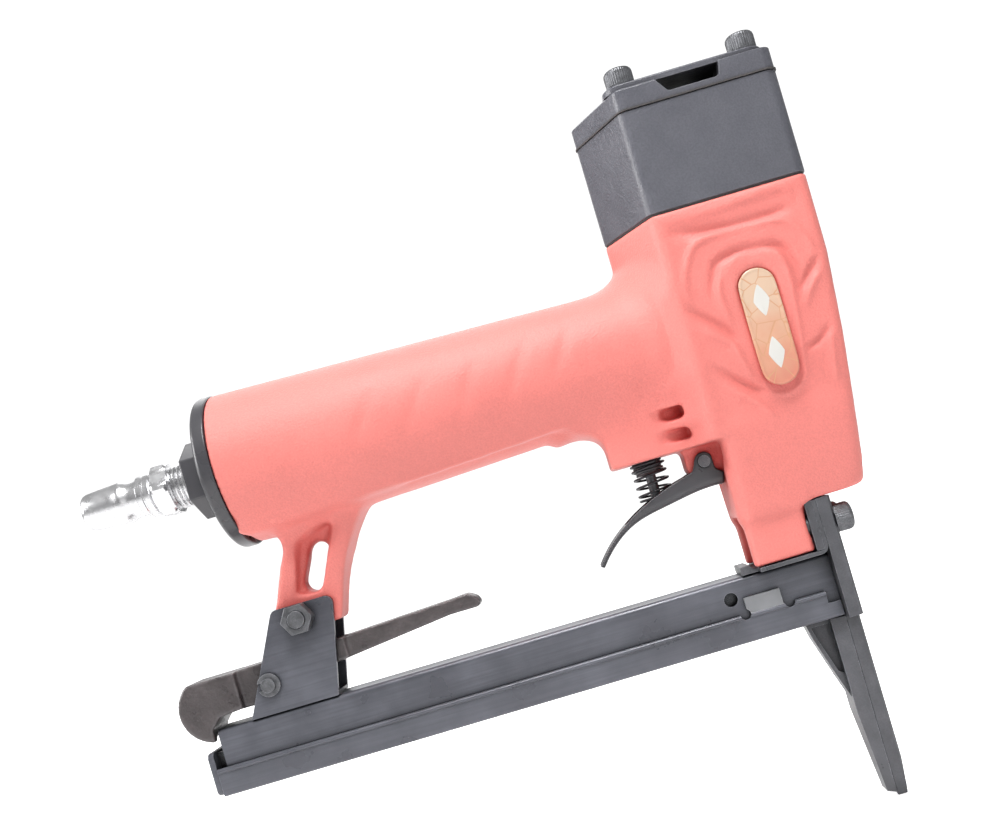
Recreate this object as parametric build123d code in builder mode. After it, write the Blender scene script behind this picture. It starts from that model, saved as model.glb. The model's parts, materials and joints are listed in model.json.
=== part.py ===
"""Long-nose pneumatic brad nailer, modelled as an assembly of its separate pieces.

Millimetres. +X points forward to the nose's front face, +Y is lateral and +Z is up, along
the drive axis. The origin is the centre of the fastener exit at the nose tip.
"""
import os

from build123d import *

os.makedirs("parts", exist_ok=True)

# ---------------------------------------------------------------- driving dimensions
RUN = 0.05              # radial clearance of a running fit
GAP = 0.3               # plain gap between pieces that move past each other

# head: a five-sided plan with a V at the rear
HEAD_TOP = 171.5
HEAD_FRONT = 20.0
HEAD_HALF = 22.0
HEAD_CORNER = -23.5     # where the side faces turn into the rear V
HEAD_REAR = -36.0       # tip of the rear V
HEAD_ROUND = 3.5
HOUSING_BOTTOM = 109.8  # underside of the trigger housing
HEAD_STATIONS = (       # height, front face, half width
    (HOUSING_BOTTOM, 16.6, 17.5),
    (128.0, 18.2, 20.5),
    (150.0, 19.9, 21.8),
    (HEAD_TOP, HEAD_FRONT, HEAD_HALF),
)
HEAD_BOTTOM = 86.9

# cylinder, piston and driver
BORE_R = 12.5
SLEEVE_R = 14.0
SLEEVE_BOTTOM = 101.0
SLEEVE_TOP = 187.5
BUMPER_TOP = 109.6
BUMPER_BORE_R = 5.4
STROKE = 71.5
PISTON_BOTTOM = BUMPER_TOP + STROKE + GAP
PISTON_HEIGHT = 5.6
PISTON_DISH_R = 8.0
PISTON_DISH_DEPTH = 2.4
BLADE_SEAT = 3.0        # how far the blade stands into the piston
BLADE_TIP = 71.9
BLADE_HALF_WIDTH = 4.5
BLADE_HALF_THICK = 0.45
CHAMBER_R = 17.0

# cap stack on top of the head
GASKET = 0.4
CAP_BOTTOM = HEAD_TOP + GASKET
CAP_TOP = 200.3
CAP_ROOF = 3.0
COVER_BOTTOM = CAP_TOP + GASKET
COVER_TOP = 206.4
PLATE_TOP = 208.2
SCREW_XS = (-20.5, 13.8)
SCREW_Y = 16.0
SCREW_R = 2.45          # M5
THREAD_HOLE_R = 2.5
CLEAR_HOLE_R = 2.7
SCREW_HEAD_R = 4.0
SCREW_HEAD_H = 5.0
SOCKET_AF = 4.0
SOCKET_DEPTH = 2.6
CAP_SCREW_END = 158.5

# handle and its end cap
HANDLE_Z = 140.5
HANDLE_REAR = -154.4
HANDLE_REAR_R = 21.8
HANDLE_NECK = -50.0
HANDLE_NECK_R = 18.2
HANDLE_NECK_Z = 141.2
NECK_OVERLAP = 30.0     # straight length buried in the head
PASSAGE_R = 4.5         # air passage from the plug into the reservoir
RESERVOIR_R = 13.5
SPIGOT_R = 17.4
SPIGOT_END = -144.0
DISC_R = 22.0
DISC_REAR = -158.5
BOSS_REAR = -166.5
BOSS_AF = 19.5

# air plug
PLUG_TIP = -198.4
PLUG_BORE_R = 3.7
PLUG_THREAD_R = 6.35
PLUG_THREAD_END = -160.5
PLUG_HEX = (-177.0, -172.3)
PLUG_HEX_AF = 14.0
PLUG_COLLAR = (-181.9, -177.8)
PLUG_COLLAR_R = 6.25

# trigger and its valve
TRIGGER_PIN_X, TRIGGER_PIN_Z = -26.4, 105.2
TRIGGER_PIN_R = 1.4
TRIGGER_HALF = 6.6
TRIGGER_WALL = 1.2
TRIGGER_ROUND = 2.0
VALVE_X = -41.5
VALVE_R = 4.3
VALVE_BORE_R = 5.0
VALVE_BOTTOM = 106.0
VALVE_TOP = 126.0
STEM_R = 1.5
STEM_BOTTOM = 97.3

# magazine
MAG_TOP = 71.3
MAG_HALF = 6.3
MAG_REAR = -178.4
MAG_FRONT = -0.6
SHEET = 1.0
CHANNEL_BOTTOM = 53.0
CHANNEL_TOP = 60.9
CHANNEL_HALF = 7.6
CHANNEL_REAR = -181.1
CHANNEL_FRONT = -0.9
END_PLATE_REAR = -183.0
RAIL_HALF = 3.4
RAIL_TOP = 69.0
ROD_Z = 62.5
ROD_R = 1.25
PUSHER_FRONT = -1.2
PUSHER_LENGTH = 22.0
SHOE_REAR = -20.3

# nose
SPLIT_X = -0.5          # plane between the front pieces and the rear guide pieces
NOSE_FRONT = 3.6
NOSE_HALF = 11.0
NOSE_TOP = 86.6
NOSE_STEP = 52.5        # where the wide upper nose gives way to the long narrow one
LONG_HALF = 6.0
LONG_REAR = -4.7
CHANNEL_DEPTH = 1.05    # milled driver channel in the rear of the front pieces
CHANNEL_SIDE = 4.65
SHEET_REAR = -1.7
GUIDE_REAR = -3.9
BLOCK_REAR = -21.2
BLOCK_HALF = 10.5
BLOCK_BOTTOM = 72.8
REAR_GROOVE_HALF = 5.5
REAR_GROOVE_DEPTH = 2.8
REAR_GROOVE_TOP = 87.0
CAST_SLIT = (-18.9, 80.2, 0.8, 6.6)      # middle x and z, width and height
NOSE_SCREW_Y = 7.3
NOSE_SCREW_Z = 79.6
NOSE_SCREW_END = -15.5

# rear leg, bracket and latch
BRACKET_INNER = 5.2
BRACKET_OUTER = 6.4
LEG_HALF = 5.1
RIVET_XS = (-157.6, -146.8)
RIVET_R = 1.5
RIVET_HEAD_R = 2.2
RIVET_HEAD_H = 0.5
PLATE_T = 1.2           # bracket and nose sheet
CATCH_X = -164.8        # slot for the latch's catch
CATCH_SLOT = (5.4, 4.6)
LEG_BOTTOM = 91.5
BOLT_X, BOLT_Z = -147.4, 95.0
LATCH_X, LATCH_Z = -160.7, 79.5
LATCH_PIN_R = 2.0
NUT_AF = 8.0

SIDE = Plane.XZ         # side-view sketches: local x is X, local y is Z, extruded along Y
ACROSS = Plane.YZ       # front-view sketches: local x is Y, local y is Z, extruded along X
SIDES = (-1, 1)


def hex_radius(across_flats):
    """Corner radius of a hexagon from its width across flats."""
    return across_flats / 3 ** 0.5


def head_plan(z, front=HEAD_FRONT, half=HEAD_HALF, corner=HEAD_CORNER, rear=HEAD_REAR, inset=0.0):
    """Five-sided plan of the head at one height, with its corners rounded."""
    with BuildSketch(Plane.XY.offset(z)) as plan:
        with BuildLine():
            Polyline(
                (front - inset, -half + inset),
                (front - inset, half - inset),
                (corner + inset * 0.5, half - inset),
                (rear + inset, 0),
                (corner + inset * 0.5, -half + inset),
                close=True,
            )
        make_face()
        fillet(plan.vertices(), HEAD_ROUND)
    return plan.sketch


def block_plan(z, rear, front, half, radius):
    """Rounded rectangular plan at one height, given by its rear and front edges."""
    with BuildSketch(Plane.XY.offset(z)) as plan:
        with Locations(((rear + front) / 2, 0)):
            RectangleRounded(front - rear, 2 * half, radius)
    return plan.sketch


def across_plane(x, z=0.0):
    """Plane square to X at x, with its centre at height z, facing forward."""
    return Plane(origin=(x, 0, z), x_dir=(0, 1, 0), z_dir=(1, 0, 0))


def side_plane(y, x=0.0, z=0.0):
    """Plane square to Y at y, centred on (x, z), facing +Y."""
    return Plane(origin=(x, y, z), x_dir=(-1, 0, 0), z_dir=(0, 1, 0))


def ring_groove(plane, outer, floor, width):
    """Square-bottomed groove for an O-ring, as a solid to take away, centred on the plane."""
    with BuildPart() as groove:
        with BuildSketch(plane.offset(-width / 2)):
            Circle(outer)
            Circle(floor, mode=Mode.SUBTRACT)
        extrude(amount=width)
    return groove.part


def screw_spots(z):
    """The four cap screw positions on a level plane."""
    return [(x, side * SCREW_Y, z) for x in SCREW_XS for side in SIDES]


# badge, one set into each side of the head
BADGE_X, BADGE_Z = -1.3, 134.8
BADGE_LENGTH, BADGE_WIDTH = 32.0, 10.4
BADGE_INNER, BADGE_OUTER = 20.2, 21.0

# ================================================================ rear leg of the body
LEG_FLARE_HALF = 9.0
LEG_WEB_HALF = 3.0
with BuildPart() as leg:
    with BuildSketch(SIDE):
        with BuildLine():
            front_edge = Spline(
                (-136.3, LEG_BOTTOM), (-131.1, 106.0), (-124.0, 117.2), (-114.0, 123.4),
                tangents=((0.33, 1), (1, 0.06)),
            )
            Line(front_edge @ 1, (-114.0, 134.0))
            Line((-114.0, 134.0), (-147.4, 134.0))
            Line((-147.4, 134.0), (-146.4, 115.2))
            Line((-146.4, 115.2), (-157.2, LEG_BOTTOM))
            Line((-157.2, LEG_BOTTOM), front_edge @ 0)
        make_face()
    extrude(amount=LEG_FLARE_HALF, both=True)
    with BuildSketch(ACROSS):
        with BuildLine():
            Polyline(
                (-LEG_HALF, LEG_BOTTOM), (LEG_HALF, LEG_BOTTOM), (LEG_HALF, 99.6),
                (LEG_FLARE_HALF, 122.0), (LEG_FLARE_HALF, 134.0), (-LEG_FLARE_HALF, 134.0),
                (-LEG_FLARE_HALF, 122.0), (-LEG_HALF, 99.6), close=True,
            )
        make_face()
    extrude(amount=200, both=True, mode=Mode.INTERSECT)
    for side in SIDES:
        with BuildSketch(SIDE.offset(side * LEG_WEB_HALF)):
            with BuildLine():
                Polyline(
                    (-130.6, 119.4), (-142.2, 115.8), (-146.6, 101.4), (-141.6, 101.0),
                    (-136.4, 107.4), close=True,
                )
            make_face()
        extrude(amount=side * LEG_FLARE_HALF, mode=Mode.SUBTRACT)
    with BuildSketch(SIDE):
        with Locations(Location((-139.4, 107.6), 64)):
            SlotOverall(14.5, 5.8)
    extrude(amount=LEG_FLARE_HALF, both=True, mode=Mode.SUBTRACT)

# ================================================================ body casting
HOUSING_HALF = 10.5
HOUSING_REAR = -51.8
LUG_HALF = 5.1
LUG_REAR = -31.5
POCKET_REAR, POCKET_FRONT = -38.6, -27.8
POCKET_FLOOR = (10.8, 7.4)      # half width at the window's rear and front ends
with BuildPart() as body_casting:
    for lower, upper in zip(HEAD_STATIONS, HEAD_STATIONS[1:]):
        loft(sections=[head_plan(*lower), head_plan(*upper)])
    # lower head, down to the nose
    loft(sections=[
        block_plan(HEAD_BOTTOM, BLOCK_REAR, 15.0, 11.5, HEAD_ROUND),
        block_plan(HOUSING_BOTTOM, BLOCK_REAR, 16.6, 17.5, HEAD_ROUND),
    ])
    with BuildSketch(Plane.XY.offset(BLOCK_BOTTOM)):
        with Locations(((BLOCK_REAR + GUIDE_REAR) / 2, 0)):
            RectangleRounded(GUIDE_REAR - BLOCK_REAR, 2 * BLOCK_HALF, 1.5)
    extrude(amount=HEAD_BOTTOM - BLOCK_BOTTOM)
    # handle, tapering forward
    with BuildSketch(across_plane(HANDLE_REAR, HANDLE_Z)):
        Circle(HANDLE_REAR_R)
    with BuildSketch(across_plane(HANDLE_NECK, HANDLE_NECK_Z)):
        Circle(HANDLE_NECK_R)
    loft()
    with BuildSketch(across_plane(HANDLE_NECK, HANDLE_NECK_Z)):
        Circle(HANDLE_NECK_R)
    extrude(amount=NECK_OVERLAP)
    # trigger housing with its rounded rear corner
    with BuildSketch(SIDE):
        with BuildLine():
            Line((HOUSING_REAR, HOUSING_BOTTOM), (HOUSING_REAR, 115.0))
            TangentArc((HOUSING_REAR, 115.0), (-60.0, 123.6), tangent=(0, 1))
            Line((-60.0, 123.6), (-60.0, 132.0))
            Line((-60.0, 132.0), (-20.0, 132.0))
            Line((-20.0, 132.0), (-20.0, HOUSING_BOTTOM))
            Line((-20.0, HOUSING_BOTTOM), (HOUSING_REAR, HOUSING_BOTTOM))
        make_face()
    extrude(amount=HOUSING_HALF, both=True)
    # lug that carries the trigger pin
    with BuildSketch(SIDE):
        with BuildLine():
            Polyline(
                (LUG_REAR, HOUSING_BOTTOM + 1), (LUG_REAR, 103.4), (-29.0, 101.4), (-20.0, 101.4),
                (-20.0, HOUSING_BOTTOM + 1), close=True,
            )
        make_face()
    extrude(amount=LUG_HALF, both=True)
    add(leg.part)
    # room for the trigger's front end beside the lug
    for side in SIDES:
        with Locations((-22.6, side * (LUG_HALF + TRIGGER_HALF + 1.2) / 2, 103.0)):
            Box(4.4, TRIGGER_HALF + 1.2 - LUG_HALF, 13.4, mode=Mode.SUBTRACT)
    # two shallow windows in each side of the housing
    for side in SIDES:
        for low, high in ((112.6, 116.2), (118.7, 122.5)):
            with BuildSketch(Plane.XY.offset(low)):
                Polygon(
                    (POCKET_REAR, side * POCKET_FLOOR[0]), (POCKET_FRONT, side * POCKET_FLOOR[1]),
                    (POCKET_FRONT, side * HEAD_HALF), (POCKET_REAR, side * HEAD_HALF), align=None,
                )
            extrude(amount=high - low, mode=Mode.SUBTRACT)
    # open groove down the rear of the block, and a cast slit in each of its sides
    with Locations((BLOCK_REAR, 0, BLOCK_BOTTOM)):
        Box(
            2 * REAR_GROOVE_DEPTH, 2 * REAR_GROOVE_HALF, REAR_GROOVE_TOP - BLOCK_BOTTOM,
            mode=Mode.SUBTRACT, align=(Align.CENTER, Align.CENTER, Align.MIN),
        )
    for side in SIDES:
        with Locations((CAST_SLIT[0], side * BLOCK_HALF, CAST_SLIT[1])):
            Box(CAST_SLIT[2], 2.0, CAST_SLIT[3], mode=Mode.SUBTRACT)
    # shallow seat for the badge in each side
    for side in SIDES:
        with BuildSketch(SIDE.offset(-side * BADGE_INNER)):
            with Locations((BADGE_X, BADGE_Z)):
                SlotOverall(BADGE_LENGTH + 0.6, BADGE_WIDTH + 0.6, rotation=90)
        extrude(amount=-side * 5, mode=Mode.SUBTRACT)
    # air chamber round the sleeve, and the sleeve's own bore
    with BuildSketch(Plane.XY.offset(HEAD_TOP)):
        Circle(CHAMBER_R)
    extrude(amount=-(HEAD_TOP - 126.0), mode=Mode.SUBTRACT)
    with BuildSketch(Plane.XY.offset(SLEEVE_BOTTOM)):
        Circle(SLEEVE_R)
    extrude(amount=30, mode=Mode.SUBTRACT)
    with Locations((0, 0, (HEAD_BOTTOM + SLEEVE_BOTTOM) / 2)):
        Box(2.0, 2 * CHANNEL_SIDE + 1, 20, mode=Mode.SUBTRACT)
    # reservoir in the handle, open at both ends
    with BuildSketch(across_plane(HANDLE_REAR, HANDLE_Z)):
        Circle(RESERVOIR_R)
    extrude(amount=-10 - HANDLE_REAR, mode=Mode.SUBTRACT)
    with BuildSketch(across_plane(HANDLE_REAR, HANDLE_Z)):
        Circle(SPIGOT_R + RUN)
    extrude(amount=SPIGOT_END - HANDLE_REAR, mode=Mode.SUBTRACT)
    # valve bore, up into the reservoir
    with BuildSketch(Plane.XY.offset(HOUSING_BOTTOM)):
        with Locations((VALVE_X, 0)):
            Circle(VALVE_BORE_R)
    extrude(amount=25, mode=Mode.SUBTRACT)
    # threaded holes: cap screws, nose screws, trigger pin and leg bolt
    with Locations(*screw_spots(HEAD_TOP)):
        Hole(THREAD_HOLE_R, depth=HEAD_TOP - CAP_SCREW_END + 1)
    with Locations(*[
        across_plane(GUIDE_REAR, NOSE_SCREW_Z) * Location((side * NOSE_SCREW_Y, 0, 0)) for side in SIDES
    ]):
        Hole(THREAD_HOLE_R, depth=GUIDE_REAR - NOSE_SCREW_END + 1)
    with Locations(side_plane(0, TRIGGER_PIN_X, TRIGGER_PIN_Z)):
        Cylinder(TRIGGER_PIN_R, 4 * LUG_HALF, mode=Mode.SUBTRACT)
    with Locations(side_plane(0, BOLT_X, BOLT_Z)):
        Cylinder(CLEAR_HOLE_R, 4 * LEG_HALF, mode=Mode.SUBTRACT)
body_casting.part.label = "body_casting"
export_step(body_casting.part, "parts/body_casting.step")

# ================================================================ cap stack
SLOT_X = (-11.9, 5.3)
SLOT_BOTTOM = 202.3
SLOT_SLANTS = (2.4, 0.8)
SLOT_ROUND = 1.3
SQUEEZE = 0.3           # how far the cover gasket stands out of its joint
PLATE_REAR, PLATE_FRONT = -26.2, 18.6
PLATE_HALF = 20.6
PLATE_ROUND = 4.8
POPPET_R = 16.9
POPPET_BORE_R = 4.0
STEM_TUBE_R = 6.0
COVER_CHAMBER_R = 13.0

with BuildPart() as head_gasket:
    extrude(head_plan(HEAD_TOP, inset=0.4), amount=GASKET)
    with Locations((0, 0, HEAD_TOP)):
        Cylinder(CHAMBER_R, 4 * GASKET, mode=Mode.SUBTRACT)
    with Locations(*screw_spots(HEAD_TOP + GASKET)):
        Hole(CLEAR_HOLE_R)
head_gasket.part.label = "head_gasket"
export_step(head_gasket.part, "parts/head_gasket.step")

with BuildPart() as head_cap:
    extrude(head_plan(CAP_BOTTOM), amount=CAP_TOP - CAP_BOTTOM)
    with BuildSketch(Plane.XY.offset(CAP_BOTTOM)):
        Circle(CHAMBER_R)
    extrude(amount=CAP_TOP - CAP_ROOF - CAP_BOTTOM, mode=Mode.SUBTRACT)
    with Locations((0, 0, CAP_TOP)):
        Hole(STEM_TUBE_R + RUN)
    with Locations(*screw_spots(CAP_TOP)):
        Hole(CLEAR_HOLE_R)
head_cap.part.label = "head_cap"
export_step(head_cap.part, "parts/head_cap.step")

with BuildPart() as cover_gasket:
    extrude(head_plan(CAP_TOP, inset=-SQUEEZE), amount=GASKET)
    with Locations((0, 0, CAP_TOP + GASKET)):
        Hole(COVER_CHAMBER_R)
    with Locations(*screw_spots(CAP_TOP + GASKET)):
        Hole(CLEAR_HOLE_R)
cover_gasket.part.label = "cover_gasket"
export_step(cover_gasket.part, "parts/cover_gasket.step")

with BuildPart() as exhaust_cover:
    extrude(head_plan(COVER_BOTTOM), amount=COVER_TOP - COVER_BOTTOM)
    with BuildSketch(Plane.XY.offset(COVER_BOTTOM)):
        Circle(COVER_CHAMBER_R)
    extrude(amount=COVER_TOP - COVER_BOTTOM, mode=Mode.SUBTRACT)
    # exhaust slots, open upward until the top plate closes them
    with BuildSketch(SIDE) as exhaust_slot:
        with BuildLine():
            Polyline(
                (SLOT_X[0], COVER_TOP + 1), (SLOT_X[0], COVER_TOP - 0.8),
                (SLOT_X[0] + SLOT_SLANTS[0], SLOT_BOTTOM), (SLOT_X[1] - SLOT_SLANTS[1], SLOT_BOTTOM),
                (SLOT_X[1], COVER_TOP - 0.8), (SLOT_X[1], COVER_TOP + 1), close=True,
            )
        make_face()
        fillet(exhaust_slot.vertices().group_by(Axis.Y)[0], SLOT_ROUND)
    extrude(amount=HEAD_HALF + 5, both=True, mode=Mode.SUBTRACT)
    with Locations(*screw_spots(COVER_TOP)):
        Hole(CLEAR_HOLE_R)
    chamfer(exhaust_cover.faces().sort_by(Axis.Z)[-1].outer_wire().edges().filter_by(Plane.XY), 0.5)
exhaust_cover.part.label = "exhaust_cover"
export_step(exhaust_cover.part, "parts/exhaust_cover.step")

with BuildPart() as top_plate:
    extrude(
        block_plan(COVER_TOP, PLATE_REAR, PLATE_FRONT, PLATE_HALF, PLATE_ROUND),
        amount=PLATE_TOP - COVER_TOP,
    )
    with Locations(*screw_spots(PLATE_TOP)):
        Hole(CLEAR_HOLE_R)
    chamfer(top_plate.faces().sort_by(Axis.Z)[-1].outer_wire().edges(), 0.4)
top_plate.part.label = "top_plate"
export_step(top_plate.part, "parts/top_plate.step")

with BuildPart() as cap_screws:
    for x, y, z in screw_spots(PLATE_TOP):
        with Locations((x, y, z)):
            Cylinder(SCREW_HEAD_R, SCREW_HEAD_H, align=(Align.CENTER, Align.CENTER, Align.MIN))
            Cylinder(
                SCREW_R, PLATE_TOP - CAP_SCREW_END, align=(Align.CENTER, Align.CENTER, Align.MAX),
            )
    with BuildSketch(Plane.XY.offset(PLATE_TOP + SCREW_HEAD_H)):
        with Locations(*[(x, side * SCREW_Y) for x in SCREW_XS for side in SIDES]):
            RegularPolygon(hex_radius(SOCKET_AF), 6)
    extrude(amount=-SOCKET_DEPTH, mode=Mode.SUBTRACT)
cap_screws.part.label = "cap_screws"
export_step(cap_screws.part, "parts/cap_screws.step")

# ================================================================ cylinder and head valve
SLEEVE_RING_ZS = (103.5, 121.0)
SLEEVE_GROOVE_R = 13.1
RETURN_HOLES = 6        # return-air holes round the sleeve
RETURN_HOLE_R = 1.2
RETURN_HOLE_Z = 116.0
with BuildPart() as cylinder_sleeve:
    with BuildSketch(Plane.XY.offset(SLEEVE_BOTTOM)):
        Circle(SLEEVE_R - 0.02)
        Circle(BORE_R, mode=Mode.SUBTRACT)
    extrude(amount=SLEEVE_TOP - SLEEVE_BOTTOM)
    with Locations((0, 0, RETURN_HOLE_Z)):
        with PolarLocations(BORE_R, RETURN_HOLES):
            Cylinder(RETURN_HOLE_R, 6, rotation=(0, 90, 0), mode=Mode.SUBTRACT)
    for z in SLEEVE_RING_ZS:
        add(ring_groove(Plane.XY.offset(z), SLEEVE_R + 1, SLEEVE_GROOVE_R, 1.2), mode=Mode.SUBTRACT)
cylinder_sleeve.part.label = "cylinder_sleeve"
export_step(cylinder_sleeve.part, "parts/cylinder_sleeve.step")

with BuildPart() as sleeve_o_rings:
    for z in SLEEVE_RING_ZS:
        with Locations((0, 0, z)):
            Torus(13.55, 0.4)
sleeve_o_rings.part.label = "sleeve_o_rings"
export_step(sleeve_o_rings.part, "parts/sleeve_o_rings.step")

with BuildPart() as bumper:
    with BuildSketch(Plane.XY.offset(SLEEVE_BOTTOM)):
        Circle(BORE_R - 0.05)
        Circle(BUMPER_BORE_R, mode=Mode.SUBTRACT)
    extrude(amount=BUMPER_TOP - SLEEVE_BOTTOM)
    fillet(bumper.edges().group_by(Axis.Z)[-1], 1.0)
bumper.part.label = "bumper"
export_step(bumper.part, "parts/bumper.step")

PISTON_MID = PISTON_BOTTOM + PISTON_HEIGHT / 2
with BuildPart() as piston:
    with Locations((0, 0, PISTON_MID)):
        Cylinder(BORE_R - RUN, PISTON_HEIGHT)
    add(ring_groove(Plane.XY.offset(PISTON_MID), BORE_R + 1, 10.7, 2.0), mode=Mode.SUBTRACT)
    with Locations((0, 0, PISTON_BOTTOM + PISTON_HEIGHT)):
        Cylinder(PISTON_DISH_R, PISTON_DISH_DEPTH, mode=Mode.SUBTRACT)
    with Locations((0, 0, PISTON_BOTTOM + BLADE_SEAT / 2)):
        Box(2 * BLADE_HALF_THICK, 2 * BLADE_HALF_WIDTH, BLADE_SEAT, mode=Mode.SUBTRACT)
piston.part.label = "piston"
export_step(piston.part, "parts/piston.step")

with BuildPart() as piston_o_ring:
    with Locations((0, 0, PISTON_MID)):
        Torus(11.6, 0.82)
piston_o_ring.part.label = "piston_o_ring"
export_step(piston_o_ring.part, "parts/piston_o_ring.step")

with BuildPart() as driver_blade:
    with Locations((0, 0, BLADE_TIP)):
        Box(
            2 * BLADE_HALF_THICK, 2 * BLADE_HALF_WIDTH, PISTON_BOTTOM + BLADE_SEAT - BLADE_TIP,
            align=(Align.CENTER, Align.CENTER, Align.MIN),
        )
    with Locations(side_plane(0, 0, BLADE_TIP)):
        Cylinder(1.2, 2, mode=Mode.SUBTRACT, rotation=(0, 90, 0))
driver_blade.part.label = "driver_blade"
export_step(driver_blade.part, "parts/driver_blade.step")

POPPET_BOTTOM = SLEEVE_TOP + 0.1
POPPET_TOP = 193.0
POPPET_RING_Z = 190.6
SPRING_SEAT = (7.4, 11.5)       # inner and outer radius of the spring's groove
SPRING_SEAT_DEPTH = 3.0
STEM_TUBE_TOP = 199.8
with BuildPart() as head_valve:
    with BuildSketch(Plane.XY.offset(POPPET_BOTTOM)):
        Circle(POPPET_R)
        Circle(POPPET_BORE_R, mode=Mode.SUBTRACT)
    extrude(amount=POPPET_TOP - POPPET_BOTTOM)
    with BuildSketch(Plane.XY.offset(POPPET_TOP)):
        Circle(STEM_TUBE_R)
        Circle(POPPET_BORE_R, mode=Mode.SUBTRACT)
    extrude(amount=STEM_TUBE_TOP - POPPET_TOP)
    with BuildSketch(Plane.XY.offset(POPPET_TOP)):
        Circle(SPRING_SEAT[1])
        Circle(SPRING_SEAT[0], mode=Mode.SUBTRACT)
    extrude(amount=-SPRING_SEAT_DEPTH, mode=Mode.SUBTRACT)
    add(ring_groove(Plane.XY.offset(POPPET_RING_Z), POPPET_R + 1, 15.2, 2.0), mode=Mode.SUBTRACT)
head_valve.part.label = "head_valve"
export_step(head_valve.part, "parts/head_valve.step")

with BuildPart() as head_valve_o_ring:
    with Locations((0, 0, POPPET_RING_Z)):
        Torus(16.05, 0.8)
head_valve_o_ring.part.label = "head_valve_o_ring"
export_step(head_valve_o_ring.part, "parts/head_valve_o_ring.step")


def coil(x, z, radius, wire, pitch, height, direction=(0, 0, 1)):
    """One open coil spring whose wire centre starts at (x + radius, 0, z)."""
    with BuildPart() as spring:
        with BuildLine():
            turns = Helix(pitch, height, radius, center=(x, 0, z), direction=direction)
        with BuildSketch(Plane(origin=turns @ 0, z_dir=turns % 0)):
            Circle(wire)
        sweep(is_frenet=True)
    return spring.part


head_valve_spring = coil(0, 190.8, 9.4, 0.6, 2.0, 5.7)
head_valve_spring.label = "head_valve_spring"
export_step(head_valve_spring, "parts/head_valve_spring.step")

# ================================================================ handle end and air plug
SPIGOT_RING_X = -148.0
with BuildPart() as handle_end_cap:
    with BuildSketch(across_plane(DISC_REAR, HANDLE_Z)):
        Circle(DISC_R)
    extrude(amount=HANDLE_REAR - DISC_REAR)
    fillet(handle_end_cap.edges().group_by(Axis.X)[0], 1.4)
    with BuildSketch(across_plane(HANDLE_REAR, HANDLE_Z)):
        Circle(SPIGOT_R)
    extrude(amount=SPIGOT_END - HANDLE_REAR)
    with BuildSketch(across_plane(BOSS_REAR, HANDLE_Z)):
        RegularPolygon(hex_radius(BOSS_AF), 6, rotation=30)
    extrude(amount=DISC_REAR - BOSS_REAR)
    with Locations(across_plane(BOSS_REAR, HANDLE_Z)):
        Cylinder(PLUG_THREAD_R + 0.05, 2 * (PLUG_THREAD_END - BOSS_REAR) + 3, mode=Mode.SUBTRACT)
    with Locations(across_plane(SPIGOT_END, HANDLE_Z)):
        Cylinder(PASSAGE_R, 60, mode=Mode.SUBTRACT)
        Cylinder(RESERVOIR_R, 12, mode=Mode.SUBTRACT)
    add(ring_groove(across_plane(SPIGOT_RING_X, HANDLE_Z), SPIGOT_R + 1, 15.6, 2.0), mode=Mode.SUBTRACT)
handle_end_cap.part.label = "handle_end_cap"
export_step(handle_end_cap.part, "parts/handle_end_cap.step")

with BuildPart() as end_cap_o_ring:
    with Locations(across_plane(SPIGOT_RING_X, HANDLE_Z)):
        Torus(16.5, 0.85)
end_cap_o_ring.part.label = "end_cap_o_ring"
export_step(end_cap_o_ring.part, "parts/end_cap_o_ring.step")

with BuildPart() as air_plug:
    with BuildSketch(SIDE):
        with BuildLine():
            Polyline(
                (PLUG_TIP, HANDLE_Z + PLUG_BORE_R), (PLUG_TIP, HANDLE_Z + 4.6),
                (PLUG_TIP + 0.6, HANDLE_Z + 5.2), (-187.4, HANDLE_Z + 6.1),
                (-186.4, HANDLE_Z + 6.1), (-184.4, HANDLE_Z + 5.3),
                (PLUG_COLLAR[0] - 0.4, HANDLE_Z + 5.3), (PLUG_COLLAR[0], HANDLE_Z + PLUG_COLLAR_R),
                (PLUG_COLLAR[1], HANDLE_Z + PLUG_COLLAR_R), (PLUG_HEX[0], HANDLE_Z + 5.6),
                (PLUG_HEX[1], HANDLE_Z + 5.6), (PLUG_HEX[1], HANDLE_Z + PLUG_THREAD_R),
                (PLUG_THREAD_END, HANDLE_Z + PLUG_THREAD_R),
                (PLUG_THREAD_END, HANDLE_Z + PLUG_BORE_R), close=True,
            )
        make_face()
    revolve(axis=Axis((0, 0, HANDLE_Z), (1, 0, 0)))
    with BuildSketch(across_plane(PLUG_HEX[0], HANDLE_Z)):
        RegularPolygon(hex_radius(PLUG_HEX_AF), 6, rotation=30)
        Circle(5.0, mode=Mode.SUBTRACT)
    extrude(amount=PLUG_HEX[1] - PLUG_HEX[0])
air_plug.part.label = "air_plug"
export_step(air_plug.part, "parts/air_plug.step")

# ================================================================ trigger and valve
VALVE_RING_ZS = (115.0, 120.5)
with BuildPart() as valve_body:
    with BuildSketch(Plane.XY.offset(VALVE_BOTTOM)):
        with Locations((VALVE_X, 0)):
            Circle(VALVE_R)
            Circle(STEM_R + RUN, mode=Mode.SUBTRACT)
    extrude(amount=VALVE_TOP - VALVE_BOTTOM)
    with BuildSketch(Plane.XY.offset(HOUSING_BOTTOM + 2)):
        with Locations((VALVE_X, 0)):
            Circle(VALVE_BORE_R - 0.03)
            Circle(VALVE_R - 1, mode=Mode.SUBTRACT)
    extrude(amount=12)
    for z in VALVE_RING_ZS:
        groove_plane = Plane(origin=(VALVE_X, 0, z))
        add(ring_groove(groove_plane, VALVE_BORE_R + 1, 3.6, 1.6), mode=Mode.SUBTRACT)
valve_body.part.label = "valve_body"
export_step(valve_body.part, "parts/valve_body.step")

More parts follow.
